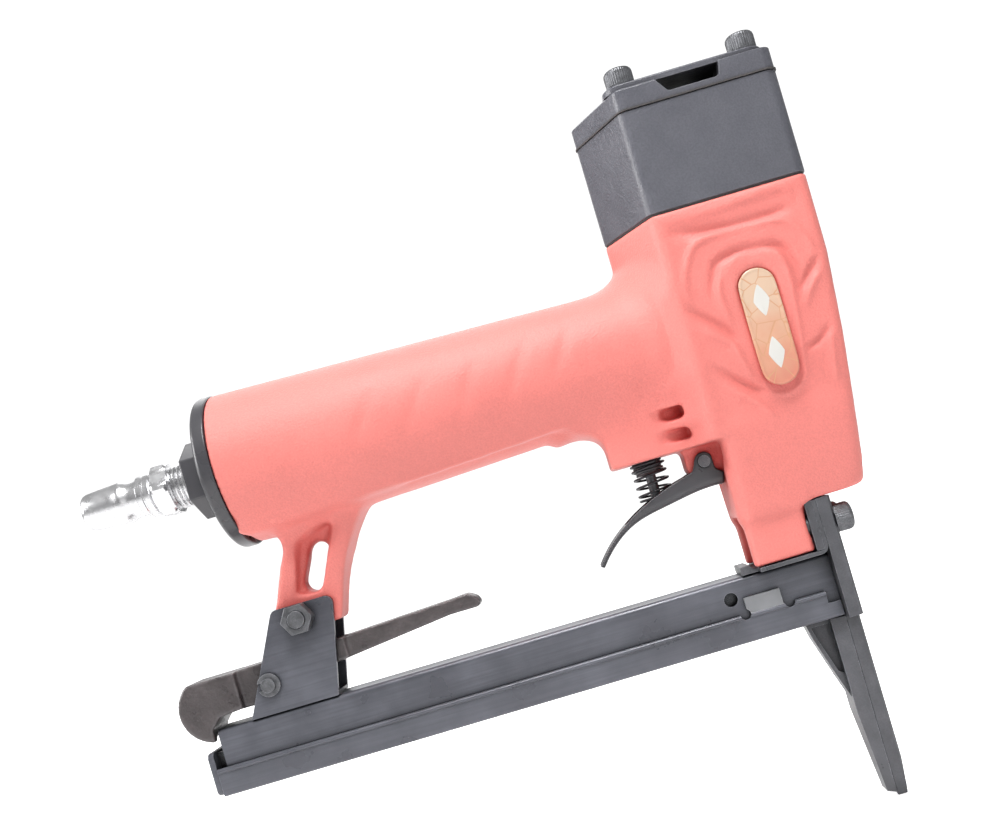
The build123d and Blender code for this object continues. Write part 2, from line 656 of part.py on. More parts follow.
with BuildPart() as valve_o_rings:
    for z in VALVE_RING_ZS:
        with Locations((VALVE_X, 0, z)):
            Torus(4.3, 0.65)
valve_o_rings.part.label = "valve_o_rings"
export_step(valve_o_rings.part, "parts/valve_o_rings.step")

STEM_TOP = 128.0
with BuildPart() as valve_stem:
    with BuildSketch(Plane.XY.offset(STEM_BOTTOM)):
        with Locations((VALVE_X, 0)):
            Circle(STEM_R)
    extrude(amount=STEM_TOP - STEM_BOTTOM)
    with BuildSketch(Plane.XY.offset(VALVE_TOP + 0.2)):
        with Locations((VALVE_X, 0)):
            Circle(2.4)
    extrude(amount=STEM_TOP + 0.8 - VALVE_TOP)
    fillet(valve_stem.edges().group_by(Axis.Z)[0], 0.8)
valve_stem.part.label = "valve_stem"
export_step(valve_stem.part, "parts/valve_stem.step")

trigger_spring = coil(VALVE_X, 98.9, 4.75, 0.3, 2.1, 10.5)
trigger_spring.label = "trigger_spring"
export_step(trigger_spring, "parts/trigger_spring.step")

with BuildPart() as trigger:
    with BuildSketch(SIDE):
        with BuildLine():
            top_edge = Spline(
                (-32.4, 102.6), (-39.5, 100.6), (-49.7, 95.9), (-60.2, 87.6), (-62.4, 84.9),
            )
            Line(top_edge @ 1, (-61.4, 84.1))
            bottom_edge = Spline(
                (-61.4, 84.1), (-59.5, 86.4), (-49.7, 93.6), (-39.5, 96.0), (-29.3, 97.6), (-22.4, 97.7),
            )
            Line(bottom_edge @ 1, (-21.8, 101.0))
            Line((-21.8, 101.0), (-23.9, 102.6))
            ear_front = Line((-23.9, 102.6), (-24.0, 106.4))
            RadiusArc(ear_front @ 1, (-29.0, 106.2), -2.7)
            Line((-29.0, 106.2), (-30.2, 103.4))
            Line((-30.2, 103.4), top_edge @ 0)
        make_face()
    extrude(amount=TRIGGER_HALF, both=True)
    fillet(
        trigger.edges().filter_by(lambda edge: abs(edge.length - bottom_edge.length) < 0.01),
        TRIGGER_ROUND,
    )
    # channel between the two cheeks, open at the top and at both ends of the lug
    with BuildSketch(SIDE):
        with BuildLine():
            web_top = Spline(
                (-52.5, 93.6), (-49.7, 94.9), (-39.5, 97.2), (-29.3, 98.8), (-20.0, 98.9),
            )
            Line(web_top @ 1, (-20.0, 110.0))
            Line((-20.0, 110.0), (-52.5, 110.0))
            Line((-52.5, 110.0), web_top @ 0)
        make_face()
    extrude(amount=TRIGGER_HALF - TRIGGER_WALL, both=True, mode=Mode.SUBTRACT)
    with Locations(side_plane(0, TRIGGER_PIN_X, TRIGGER_PIN_Z)):
        Cylinder(TRIGGER_PIN_R + RUN, 4 * TRIGGER_HALF, mode=Mode.SUBTRACT)
trigger.part.label = "trigger"
export_step(trigger.part, "parts/trigger.step")

with BuildPart() as trigger_pin:
    with Locations(side_plane(0, TRIGGER_PIN_X, TRIGGER_PIN_Z)):
        Cylinder(TRIGGER_PIN_R, 2 * (TRIGGER_HALF + 0.4))
    for side in SIDES:
        with Locations(side_plane(side * (TRIGGER_HALF + 0.45), TRIGGER_PIN_X, TRIGGER_PIN_Z)):
            Cylinder(TRIGGER_PIN_R + 0.3, 0.5)
trigger_pin.part.label = "trigger_pin"
export_step(trigger_pin.part, "parts/trigger_pin.step")

# ================================================================ nose
with BuildPart() as drive_guide_plate:
    with Locations(((GUIDE_REAR + SHEET_REAR) / 2, 0, (MAG_TOP + 1.3 + NOSE_TOP) / 2)):
        Box(SHEET_REAR - GUIDE_REAR, 2 * NOSE_HALF, NOSE_TOP - MAG_TOP - 1.3)
    with Locations(*[(SHEET_REAR, side * NOSE_SCREW_Y, NOSE_SCREW_Z) for side in SIDES]):
        Cylinder(CLEAR_HOLE_R, 20, rotation=(0, 90, 0), mode=Mode.SUBTRACT)
drive_guide_plate.part.label = "drive_guide_plate"
export_step(drive_guide_plate.part, "parts/drive_guide_plate.step")

SHEET_T = SPLIT_X - SHEET_REAR
BEND_R = 2.5
WING_REAR = -20.4        # where the full-width sheet narrows to its tongue
TONGUE_REAR = -25.2
TONGUE_HALF = 6.5
with BuildPart() as nose_bracket:
    with BuildSketch(SIDE):
        with BuildLine():
            Polyline(
                (TONGUE_REAR, MAG_TOP), (SPLIT_X, MAG_TOP), (SPLIT_X, NOSE_TOP), (SHEET_REAR, NOSE_TOP),
                (SHEET_REAR, MAG_TOP + SHEET_T), (-21.6, MAG_TOP + SHEET_T),
                (-22.4, MAG_TOP + 2 * SHEET_T), (TONGUE_REAR, MAG_TOP + 2 * SHEET_T), close=True,
            )
        make_face()
    extrude(amount=NOSE_HALF, both=True)
    fillet(
        nose_bracket.edges().filter_by(Axis.Y).sort_by_distance((SPLIT_X, 0, MAG_TOP))[0], BEND_R,
    )
    for side in SIDES:
        with Locations((WING_REAR, side * (NOSE_HALF + TONGUE_HALF) / 2, MAG_TOP)):
            Box(
                12.0, NOSE_HALF - TONGUE_HALF, 10.0, mode=Mode.SUBTRACT,
                align=(Align.MAX, Align.CENTER, Align.CENTER),
            )
    with Locations(*[(SHEET_REAR, side * NOSE_SCREW_Y, NOSE_SCREW_Z) for side in SIDES]):
        Cylinder(CLEAR_HOLE_R, 20, rotation=(0, 90, 0), mode=Mode.SUBTRACT)
nose_bracket.part.label = "nose_bracket"
export_step(nose_bracket.part, "parts/nose_bracket.step")

with BuildPart() as front_bar:
    with Locations(((SPLIT_X + NOSE_FRONT) / 2, 0, (NOSE_STEP + NOSE_TOP) / 2)):
        Box(NOSE_FRONT - SPLIT_X, 2 * NOSE_HALF, NOSE_TOP - NOSE_STEP)
    chamfer(front_bar.edges().filter_by(Axis.Z).group_by(Axis.X)[-1], 0.8)
    with Locations((SPLIT_X, 0, (NOSE_STEP + NOSE_TOP) / 2)):
        Box(2 * CHANNEL_DEPTH, 2 * CHANNEL_SIDE, 50, mode=Mode.SUBTRACT)
    with Locations(*[(SHEET_REAR, side * NOSE_SCREW_Y, NOSE_SCREW_Z) for side in SIDES]):
        Cylinder(CLEAR_HOLE_R, 20, rotation=(0, 90, 0), mode=Mode.SUBTRACT)
front_bar.part.label = "front_bar"
export_step(front_bar.part, "parts/front_bar.step")

with BuildPart() as nose_screws:
    for side in SIDES:
        with Locations(across_plane(NOSE_FRONT, NOSE_SCREW_Z) * Location((side * NOSE_SCREW_Y, 0, 0))):
            Cylinder(SCREW_HEAD_R, SCREW_HEAD_H, align=(Align.CENTER, Align.CENTER, Align.MIN))
            Cylinder(
                SCREW_R, NOSE_FRONT - NOSE_SCREW_END, align=(Align.CENTER, Align.CENTER, Align.MAX),
            )
    with BuildSketch(across_plane(NOSE_FRONT + SCREW_HEAD_H, NOSE_SCREW_Z)):
        with Locations(*[(side * NOSE_SCREW_Y, 0) for side in SIDES]):
            RegularPolygon(hex_radius(SOCKET_AF), 6)
    extrude(amount=-SOCKET_DEPTH, mode=Mode.SUBTRACT)
nose_screws.part.label = "nose_screws"
export_step(nose_screws.part, "parts/nose_screws.step")

TIP_TAPER_Z = 10.0
TIP_FRONT = 2.4
with BuildPart() as long_nose_front:
    with BuildSketch(SIDE):
        with BuildLine():
            Polyline(
                (SPLIT_X, 0), (TIP_FRONT, 0), (NOSE_FRONT, TIP_TAPER_Z), (NOSE_FRONT, NOSE_STEP),
                (SPLIT_X, NOSE_STEP), close=True,
            )
        make_face()
    extrude(amount=LONG_HALF, both=True)
    chamfer(long_nose_front.edges().filter_by(Axis.Z).group_by(Axis.X)[-1], 0.9)
    with Locations((SPLIT_X, 0, NOSE_STEP / 2)):
        Box(2 * CHANNEL_DEPTH, 2 * CHANNEL_SIDE, 2 * NOSE_STEP, mode=Mode.SUBTRACT)
long_nose_front.part.label = "long_nose_front"
export_step(long_nose_front.part, "parts/long_nose_front.step")

GUSSET_HALF = 3.0
GUSSET_WEB_HALF = 1.6
GUIDE_TAPER_Z = 25.0
GUIDE_TIP = (1.0, -2.5, 2.8)        # height, rear face and its half width
GUIDE_REAR_HALF = 4.6


def guide_plan(z, rear, rear_half):
    """Tapered plan of the rear guide at one height."""
    with BuildSketch(Plane.XY.offset(z)) as plan:
        Polygon(
            (rear, -rear_half), (SPLIT_X, -LONG_HALF), (SPLIT_X, LONG_HALF), (rear, rear_half),
            align=None,
        )
    return plan.sketch


with BuildPart() as long_nose_rear:
    loft(sections=[guide_plan(*GUIDE_TIP), guide_plan(GUIDE_TAPER_Z, LONG_REAR, GUIDE_REAR_HALF)])
    extrude(guide_plan(GUIDE_TAPER_Z, LONG_REAR, GUIDE_REAR_HALF), amount=NOSE_STEP - GUIDE_TAPER_Z)
    # gusset below the magazine, with a thinner web inside its rim
    with BuildSketch(SIDE):
        Polygon(
            (LONG_REAR + 0.5, 28.0), (LONG_REAR + 0.5, NOSE_STEP), (-11.6, NOSE_STEP),
            (-10.6, 48.0), (-6.9, 36.0), align=None,
        )
    extrude(amount=GUSSET_HALF, both=True)
    for side in SIDES:
        with BuildSketch(SIDE.offset(side * GUSSET_WEB_HALF)):
            Polygon(
                (LONG_REAR, 36.5), (LONG_REAR, NOSE_STEP - 1.2), (-10.3, NOSE_STEP - 1.2),
                (-9.4, 47.8), (-6.2, 37.6), align=None,
            )
        extrude(amount=side * GUSSET_HALF, mode=Mode.SUBTRACT)
long_nose_rear.part.label = "long_nose_rear"
export_step(long_nose_rear.part, "parts/long_nose_rear.step")

# ================================================================ magazine
SKIRT_BOTTOM = 56.0     # lower edge of the fixed magazine's sides
STOP_HOLE_X, STOP_HOLE_Z, STOP_HOLE_R = -30.1, 65.8, 1.95
with BuildPart() as fixed_magazine:
    with BuildSketch(across_plane(MAG_REAR)):
        Polygon(
            (-MAG_HALF, SKIRT_BOTTOM), (-MAG_HALF, MAG_TOP), (MAG_HALF, MAG_TOP), (MAG_HALF, SKIRT_BOTTOM),
            (MAG_HALF - SHEET, SKIRT_BOTTOM), (MAG_HALF - SHEET, MAG_TOP - SHEET),
            (SHEET - MAG_HALF, MAG_TOP - SHEET), (SHEET - MAG_HALF, SKIRT_BOTTOM), align=None,
        )
    extrude(amount=MAG_FRONT - MAG_REAR)
    fillet(fixed_magazine.edges().filter_by(Axis.X).group_by(Axis.Z)[-1], 1.6)
    with Locations(side_plane(0, STOP_HOLE_X, STOP_HOLE_Z)):
        Cylinder(STOP_HOLE_R, 4 * MAG_HALF, mode=Mode.SUBTRACT)
    with Locations((CATCH_X, 0, MAG_TOP)):
        Box(*CATCH_SLOT, 6, mode=Mode.SUBTRACT)
    with Locations(*[(x, 0, MAG_TOP) for x in RIVET_XS]):
        Hole(RIVET_R + RUN, depth=3)
fixed_magazine.part.label = "fixed_magazine"
export_step(fixed_magazine.part, "parts/fixed_magazine.step")

NOTCH_XS = (-27.4, -14.6)
NOTCH_R = 1.5
BEAD_R = 0.65
TAB_X, TAB_Z = -21.6, 62.6      # middle of the raised tab in each side
TAB_LENGTH, TAB_HEIGHT = 10.3, 5.6
with BuildPart() as moving_magazine:
    with BuildSketch(across_plane(CHANNEL_REAR)):
        with Locations((0, (CHANNEL_BOTTOM + CHANNEL_TOP) / 2)):
            Rectangle(2 * CHANNEL_HALF, CHANNEL_TOP - CHANNEL_BOTTOM)
    extrude(amount=CHANNEL_FRONT - CHANNEL_REAR)
    fillet(moving_magazine.edges().filter_by(Axis.X).group_by(Axis.Z)[0], 0.9)
    # rolled beads along both top edges
    for side in SIDES:
        with BuildSketch(across_plane(CHANNEL_REAR)):
            with Locations((side * (CHANNEL_HALF - 0.2), CHANNEL_TOP - 0.7)):
                Circle(BEAD_R)
        extrude(amount=CHANNEL_FRONT - CHANNEL_REAR)
    for side in SIDES:
        with Locations((TAB_X, side * (CHANNEL_HALF - SHEET / 2), TAB_Z)):
            Box(TAB_LENGTH, SHEET, TAB_HEIGHT)
    with Locations((0, 0, CHANNEL_BOTTOM + SHEET)):
        Box(
            500, 2 * (CHANNEL_HALF - SHEET), 30, mode=Mode.SUBTRACT,
            align=(Align.CENTER, Align.CENTER, Align.MIN),
        )
    with BuildSketch(SIDE):
        for x in NOTCH_XS:
            with Locations((x, CHANNEL_TOP)):
                Circle(NOTCH_R)
        with Locations((-2.4, CHANNEL_TOP)):
            Rectangle(4.0, 7.0)
    extrude(amount=2 * CHANNEL_HALF, both=True, mode=Mode.SUBTRACT)
moving_magazine.part.label = "moving_magazine"
export_step(moving_magazine.part, "parts/moving_magazine.step")

with BuildPart() as magazine_end_plate:
    with BuildSketch(across_plane(END_PLATE_REAR, 59.6)):
        RectangleRounded(14.6, 12.2, 1.6)
    extrude(amount=CHANNEL_REAR - END_PLATE_REAR)
    fillet(magazine_end_plate.faces().sort_by(Axis.X)[0].edges(), 0.7)
magazine_end_plate.part.label = "magazine_end_plate"
export_step(magazine_end_plate.part, "parts/magazine_end_plate.step")

with BuildPart() as staple_rail:
    with Locations((CHANNEL_REAR, 0, CHANNEL_BOTTOM + SHEET)):
        Box(
            -1.0 - CHANNEL_REAR, 2 * RAIL_HALF, RAIL_TOP - CHANNEL_BOTTOM - SHEET,
            align=(Align.MIN, Align.CENTER, Align.MIN),
        )
        Box(
            500, 2 * (RAIL_HALF - SHEET), RAIL_TOP - CHANNEL_BOTTOM - 2 * SHEET, mode=Mode.SUBTRACT,
            align=(Align.CENTER, Align.CENTER, Align.MIN),
        )
    with Locations(((-172.0 - 3.0) / 2, 0, RAIL_TOP)):
        Box(169.0, 2.4, 6.0, mode=Mode.SUBTRACT)
    # low stub at the rear, behind the fixed magazine
    with Locations((CHANNEL_REAR, 0, 65.0)):
        Box(6.0, 20, 10, mode=Mode.SUBTRACT, align=(Align.CENTER, Align.CENTER, Align.MIN))
staple_rail.part.label = "staple_rail"
export_step(staple_rail.part, "parts/staple_rail.step")

PUSHER_MID = PUSHER_FRONT - PUSHER_LENGTH / 2
PUSHER_BOTTOM, PUSHER_HEIGHT = 57.0, 13.0
PUSHER_HALF = 4.8
with BuildPart() as pusher:
    with Locations((PUSHER_MID, 0, PUSHER_BOTTOM)):
        Box(PUSHER_LENGTH, 2 * PUSHER_HALF, PUSHER_HEIGHT, align=(Align.CENTER, Align.CENTER, Align.MIN))
        Box(
            40, 2 * (RAIL_HALF + 0.2), RAIL_TOP + 0.1 - PUSHER_BOTTOM, mode=Mode.SUBTRACT,
            align=(Align.CENTER, Align.CENTER, Align.MIN),
        )
    with Locations((SHOE_REAR, 0, 59.0)):
        Box(14.0, 4.2, 8.6, align=(Align.MIN, Align.CENTER, Align.MIN))
    with Locations((SHOE_REAR, 0, 66.0)):
        Box(14.0, 1.8, 3.6, align=(Align.MIN, Align.CENTER, Align.MIN))
    with Locations(across_plane(SHOE_REAR, ROD_Z)):
        Cylinder(ROD_R + RUN, 60, mode=Mode.SUBTRACT)
pusher.part.label = "pusher"
export_step(pusher.part, "parts/pusher.step")

with BuildPart() as pusher_rod:
    with BuildSketch(across_plane(CHANNEL_REAR, ROD_Z)):
        Circle(ROD_R)
    extrude(amount=-3.0 - CHANNEL_REAR)
pusher_rod.part.label = "pusher_rod"
export_step(pusher_rod.part, "parts/pusher_rod.step")

with BuildPart() as pusher_spring:
    with BuildLine():
        feed_turns = Helix(
            5.6, SHOE_REAR - CHANNEL_REAR - 1.0, 1.85,
            center=(CHANNEL_REAR + 0.5, 0, ROD_Z), direction=(1, 0, 0),
        )
    with BuildSketch(Plane(origin=feed_turns @ 0, z_dir=feed_turns % 0)):
        Circle(0.25)
    sweep(is_frenet=True)
pusher_spring.part.label = "pusher_spring"
export_step(pusher_spring.part, "parts/pusher_spring.step")

# ================================================================ bracket, bolt and latch
with BuildPart() as rear_bracket:
    with BuildSketch(SIDE):
        with BuildLine():
            Polyline(
                (-168.2, MAG_TOP), (-154.6, 99.1), (-136.6, 99.1), (-142.9, MAG_TOP), close=True,
            )
        make_face()
    extrude(amount=BRACKET_OUTER, both=True)
    with Locations((-155, 0, MAG_TOP + BRACKET_OUTER - BRACKET_INNER)):
        Box(60, 2 * BRACKET_INNER, 60, mode=Mode.SUBTRACT, align=(Align.CENTER, Align.CENTER, Align.MIN))
    fillet(rear_bracket.edges().filter_by(Axis.Y).group_by(Axis.Z)[-1], 2.2)
    with Locations((CATCH_X, 0, MAG_TOP)):
        Box(*CATCH_SLOT, 6, mode=Mode.SUBTRACT)
    with Locations(*[(x, 0, MAG_TOP + PLATE_T) for x in RIVET_XS]):
        Hole(RIVET_R + RUN, depth=3)
    with Locations(side_plane(0, BOLT_X, BOLT_Z)):
        Cylinder(CLEAR_HOLE_R, 40, mode=Mode.SUBTRACT)
    with Locations(side_plane(0, LATCH_X, LATCH_Z)):
        Cylinder(LATCH_PIN_R, 40, mode=Mode.SUBTRACT)
rear_bracket.part.label = "rear_bracket"
export_step(rear_bracket.part, "parts/rear_bracket.step")

with BuildPart() as bracket_rivets:
    for x in RIVET_XS:
        with Locations((x, 0, MAG_TOP - SHEET)):
            Cylinder(RIVET_R, SHEET + PLATE_T, align=(Align.CENTER, Align.CENTER, Align.MIN))
        with Locations((x, 0, MAG_TOP + PLATE_T)):
            Cylinder(RIVET_HEAD_R, RIVET_HEAD_H, align=(Align.CENTER, Align.CENTER, Align.MIN))
bracket_rivets.part.label = "bracket_rivets"
export_step(bracket_rivets.part, "parts/bracket_rivets.step")

with BuildPart() as bracket_bolt:
    with Locations(side_plane(0, BOLT_X, BOLT_Z)):
        with Locations((0, 0, -10.8)):
            Cylinder(SCREW_R, 10.8 + BRACKET_OUTER, align=(Align.CENTER, Align.CENTER, Align.MIN))
    with BuildSketch(side_plane(BRACKET_OUTER, BOLT_X, BOLT_Z)):
        RegularPolygon(hex_radius(NUT_AF), 6)
    extrude(amount=3.5)
bracket_bolt.part.label = "bracket_bolt"
export_step(bracket_bolt.part, "parts/bracket_bolt.step")

with BuildPart() as bracket_nut:
    with BuildSketch(side_plane(-BRACKET_OUTER - 4.0, BOLT_X, BOLT_Z)):
        RegularPolygon(hex_radius(NUT_AF), 6)
        Circle(SCREW_R, mode=Mode.SUBTRACT)
    extrude(amount=4.0)
bracket_nut.part.label = "bracket_nut"
export_step(bracket_nut.part, "parts/bracket_nut.step")

with BuildPart() as latch_pin:
    with Locations(side_plane(0, LATCH_X, LATCH_Z)):
        Cylinder(LATCH_PIN_R, 16.4)
        for side in SIDES:
            with Locations((0, 0, side * (BRACKET_OUTER + 0.5))):
                Torus(LATCH_PIN_R + 0.25, 0.65, mode=Mode.SUBTRACT)
latch_pin.part.label = "latch_pin"
export_step(latch_pin.part, "parts/latch_pin.step")

with BuildPart() as latch_clips:
    for side in SIDES:
        with BuildSketch(side_plane(side * (BRACKET_OUTER + 0.5) - 0.3, LATCH_X, LATCH_Z)):
            Circle(3.3)
            Circle(1.75, mode=Mode.SUBTRACT)
            with Locations((3.0, 0)):
                Rectangle(3.4, 2.2, mode=Mode.SUBTRACT)
        extrude(amount=0.6)
latch_clips.part.label = "latch_clips"
export_step(latch_clips.part, "parts/latch_clips.step")

ARM_HALF = 3.6
HUB_HALF = 4.8
PADDLE_HALF = 7.0
with BuildPart() as latch_lever:
    # hub and the front of the paddle, between the bracket's cheeks
    with BuildSketch(SIDE):
        with BuildLine():
            Polyline(
                (-172.0, 85.7), (-137.4, 86.6), (-137.4, 80.4), (-154.5, 78.4), (-158.5, 74.6),
                (-167.5, 74.9), (-172.0, 75.0), close=True,
            )
        make_face()
    extrude(amount=HUB_HALF, both=True)
    # forward arm with its bulb
    with BuildSketch(SIDE):
        with BuildLine():
            Polyline(
                (-139.0, 86.5), (-106.0, 87.9), (-101.0, 88.3), (-98.6, 86.9), (-97.6, 84.9),
                (-98.6, 83.8), (-107.0, 83.8), (-139.0, 80.2), close=True,
            )
        make_face()
    extrude(amount=ARM_HALF, both=True)
    # thumb paddle, curling down behind the magazine
    with BuildSketch(SIDE):
        with BuildLine():
            Line((-169.5, 85.7), (-183.5, 85.6))
            ThreePointArc((-183.5, 85.6), (-187.3, 79.0), (-179.4, 68.1))
            Line((-179.4, 68.1), (-179.4, 71.6))
            Line((-179.4, 71.6), (-176.6, 74.6))
            Line((-176.6, 74.6), (-169.5, 75.2))
            Line((-169.5, 75.2), (-169.5, 85.7))
        make_face()
    extrude(amount=PADDLE_HALF, both=True)
    # the curl is forked, so that the staple rail can pass between its two prongs
    with Locations((-185.0, 0, 69.4)):
        Box(20, 8.2, 20, mode=Mode.SUBTRACT, align=(Align.CENTER, Align.CENTER, Align.MAX))
    # catch that drops through the slot in the magazine's roof
    with Locations((-164.0, 0, 73.0)):
        Box(2.4, 3.6, 5.4)
    with Locations(side_plane(0, LATCH_X, LATCH_Z)):
        Cylinder(LATCH_PIN_R + RUN, 40, mode=Mode.SUBTRACT)
latch_lever.part.label = "latch_lever"
export_step(latch_lever.part, "parts/latch_lever.step")

latch_spring = coil(-152.2, 73.0, 2.2, 0.3, 1.5, 4.9)
latch_spring.label = "latch_spring"
export_step(latch_spring, "parts/latch_spring.step")

# ================================================================ badges
with BuildPart() as badges:
    for side in SIDES:
        with BuildSketch(SIDE.offset(-side * BADGE_INNER)):
            with Locations((BADGE_X, BADGE_Z)):
                SlotOverall(BADGE_LENGTH, BADGE_WIDTH, rotation=90)
        extrude(amount=-side * (BADGE_OUTER - BADGE_INNER))
badges.part.label = "badges"
export_step(badges.part, "parts/badges.step")
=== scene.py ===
"""Long-nose pneumatic fine-wire nailer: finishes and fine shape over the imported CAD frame."""
import json
import math

import bmesh
import bpy
import numpy as np
from mathutils import Matrix, Vector


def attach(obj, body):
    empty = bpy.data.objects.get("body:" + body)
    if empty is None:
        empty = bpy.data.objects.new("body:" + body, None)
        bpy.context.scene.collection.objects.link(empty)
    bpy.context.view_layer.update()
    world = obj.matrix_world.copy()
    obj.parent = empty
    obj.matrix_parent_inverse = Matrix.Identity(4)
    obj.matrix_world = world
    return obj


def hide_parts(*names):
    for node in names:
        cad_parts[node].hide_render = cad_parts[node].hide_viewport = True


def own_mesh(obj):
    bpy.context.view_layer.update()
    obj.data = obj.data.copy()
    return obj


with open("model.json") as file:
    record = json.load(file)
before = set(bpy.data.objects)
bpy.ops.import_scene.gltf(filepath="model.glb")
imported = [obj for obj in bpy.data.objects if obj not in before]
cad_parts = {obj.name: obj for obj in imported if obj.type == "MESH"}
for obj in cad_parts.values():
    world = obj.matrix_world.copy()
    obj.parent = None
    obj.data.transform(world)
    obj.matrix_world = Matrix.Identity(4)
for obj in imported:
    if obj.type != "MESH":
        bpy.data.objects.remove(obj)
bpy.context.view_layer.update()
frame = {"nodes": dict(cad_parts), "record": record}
NODES = frame["nodes"]
MM = 0.001
SIDES = (-1, 1)

# ------------------------------------------------------------------ camera, light, floor
ROLL = math.radians(16.4)
RIGHT = Vector((math.cos(ROLL), 0, -math.sin(ROLL)))
UP = Vector((math.sin(ROLL), 0, math.cos(ROLL)))
BACK = Vector((0, -1, 0))
CAMERA_AT = Vector((-0.0627, -0.313, 0.1037))
TOOL_CENTRE = Vector((-0.09, 0, 0.115))

camera_data = bpy.data.cameras.new("camera")
camera_data.lens = 39.456
camera_data.sensor_width = 36.0
camera_data.sensor_fit = "HORIZONTAL"
camera_data.shift_x = -0.081
camera_data.shift_y = 0.091
camera_data.clip_start = 0.01
camera_data.clip_end = 30.0
camera = bpy.data.objects.new("camera", camera_data)
bpy.context.scene.collection.objects.link(camera)
camera_matrix = Matrix((RIGHT, UP, BACK)).transposed().to_4x4()
camera_matrix.translation = CAMERA_AT
camera.matrix_world = camera_matrix
bpy.context.scene.camera = camera
bpy.context.scene.view_settings.view_transform = "Standard"


def studio_world():
    """White to the eye, with softer, darker sides for reflections."""
    world = bpy.data.worlds.new("studio")
    bpy.context.scene.world = world
    world.use_nodes = True
    tree = world.node_tree
    tree.nodes.clear()
    out = tree.nodes.new("ShaderNodeOutputWorld")
    mix = tree.nodes.new("ShaderNodeMixShader")
    path = tree.nodes.new("ShaderNodeLightPath")
    seen = tree.nodes.new("ShaderNodeBackground")
    seen.inputs["Color"].default_value = (1, 1, 1, 1)
    seen.inputs["Strength"].default_value = 1.1
    light = tree.nodes.new("ShaderNodeBackground")
    light.inputs["Strength"].default_value = 0.50
    coords = tree.nodes.new("ShaderNodeTexCoord")
    split = tree.nodes.new("ShaderNodeSeparateXYZ")
    ramp = tree.nodes.new("ShaderNodeValToRGB")
    ramp.color_ramp.elements[0].position = 0.32
    ramp.color_ramp.elements[0].color = (0.30, 0.30, 0.32, 1)
    ramp.color_ramp.elements[1].position = 0.85
    ramp.color_ramp.elements[1].color = (1, 1, 1, 1)
    half = tree.nodes.new("ShaderNodeMapRange")
    half.inputs["From Min"].default_value = -1
    tree.links.new(coords.outputs["Generated"], split.inputs[0])
    tree.links.new(split.outputs["Z"], half.inputs["Value"])
    tree.links.new(half.outputs["Result"], ramp.inputs["Fac"])
    tree.links.new(ramp.outputs["Color"], light.inputs["Color"])
    tree.links.new(path.outputs["Is Camera Ray"], mix.inputs["Fac"])
    tree.links.new(light.outputs[0], mix.inputs[1])
    tree.links.new(seen.outputs[0], mix.inputs[2])
    tree.links.new(mix.outputs[0], out.inputs["Surface"])


def softbox(name, place, size, power):
    """Square area light aimed at the tool."""
    data = bpy.data.lights.new(name, "AREA")
    data.shape = "SQUARE"
    data.size = size
    data.energy = power
    light = bpy.data.objects.new(name, data)
    bpy.context.scene.collection.objects.link(light)
    light.location = place
    light.rotation_mode = "QUATERNION"
    light.rotation_quaternion = (TOOL_CENTRE - Vector(place)).to_track_quat("-Z", "Y")


studio_world()
softbox("key", TOOL_CENTRE + UP * 0.50 - RIGHT * 0.12 + BACK * 0.25, 0.22, 4.2)
softbox("fill", TOOL_CENTRE + UP * 0.15 + RIGHT * 0.45 + BACK * 0.95, 0.7, 1.3)
softbox("rear", TOOL_CENTRE + UP * 0.5 - RIGHT * 0.2 - BACK * 0.8, 0.8, 4.0)
softbox("left", TOOL_CENTRE + UP * 0.12 - RIGHT * 0.95 + BACK * 0.16, 0.5, 8.0)


# ------------------------------------------------------------------ finishes
POINTY_RANGE = (0.51, 0.56)       # pointiness from plain edges to fully lightened ones (wear and painted highlight)
ROUNDED_RANGE = (0.995, 0.86)     # bevelled against true normal, from plain edges to fully lightened ones
OPEN_RANGE = (0.30, 0.94)         # occlusion from deep in a recess, where the painted shade is strongest, to open
# most of the painted shade colour that a deep recess takes on
PAINTED_SHADE_SHARE = 0.97


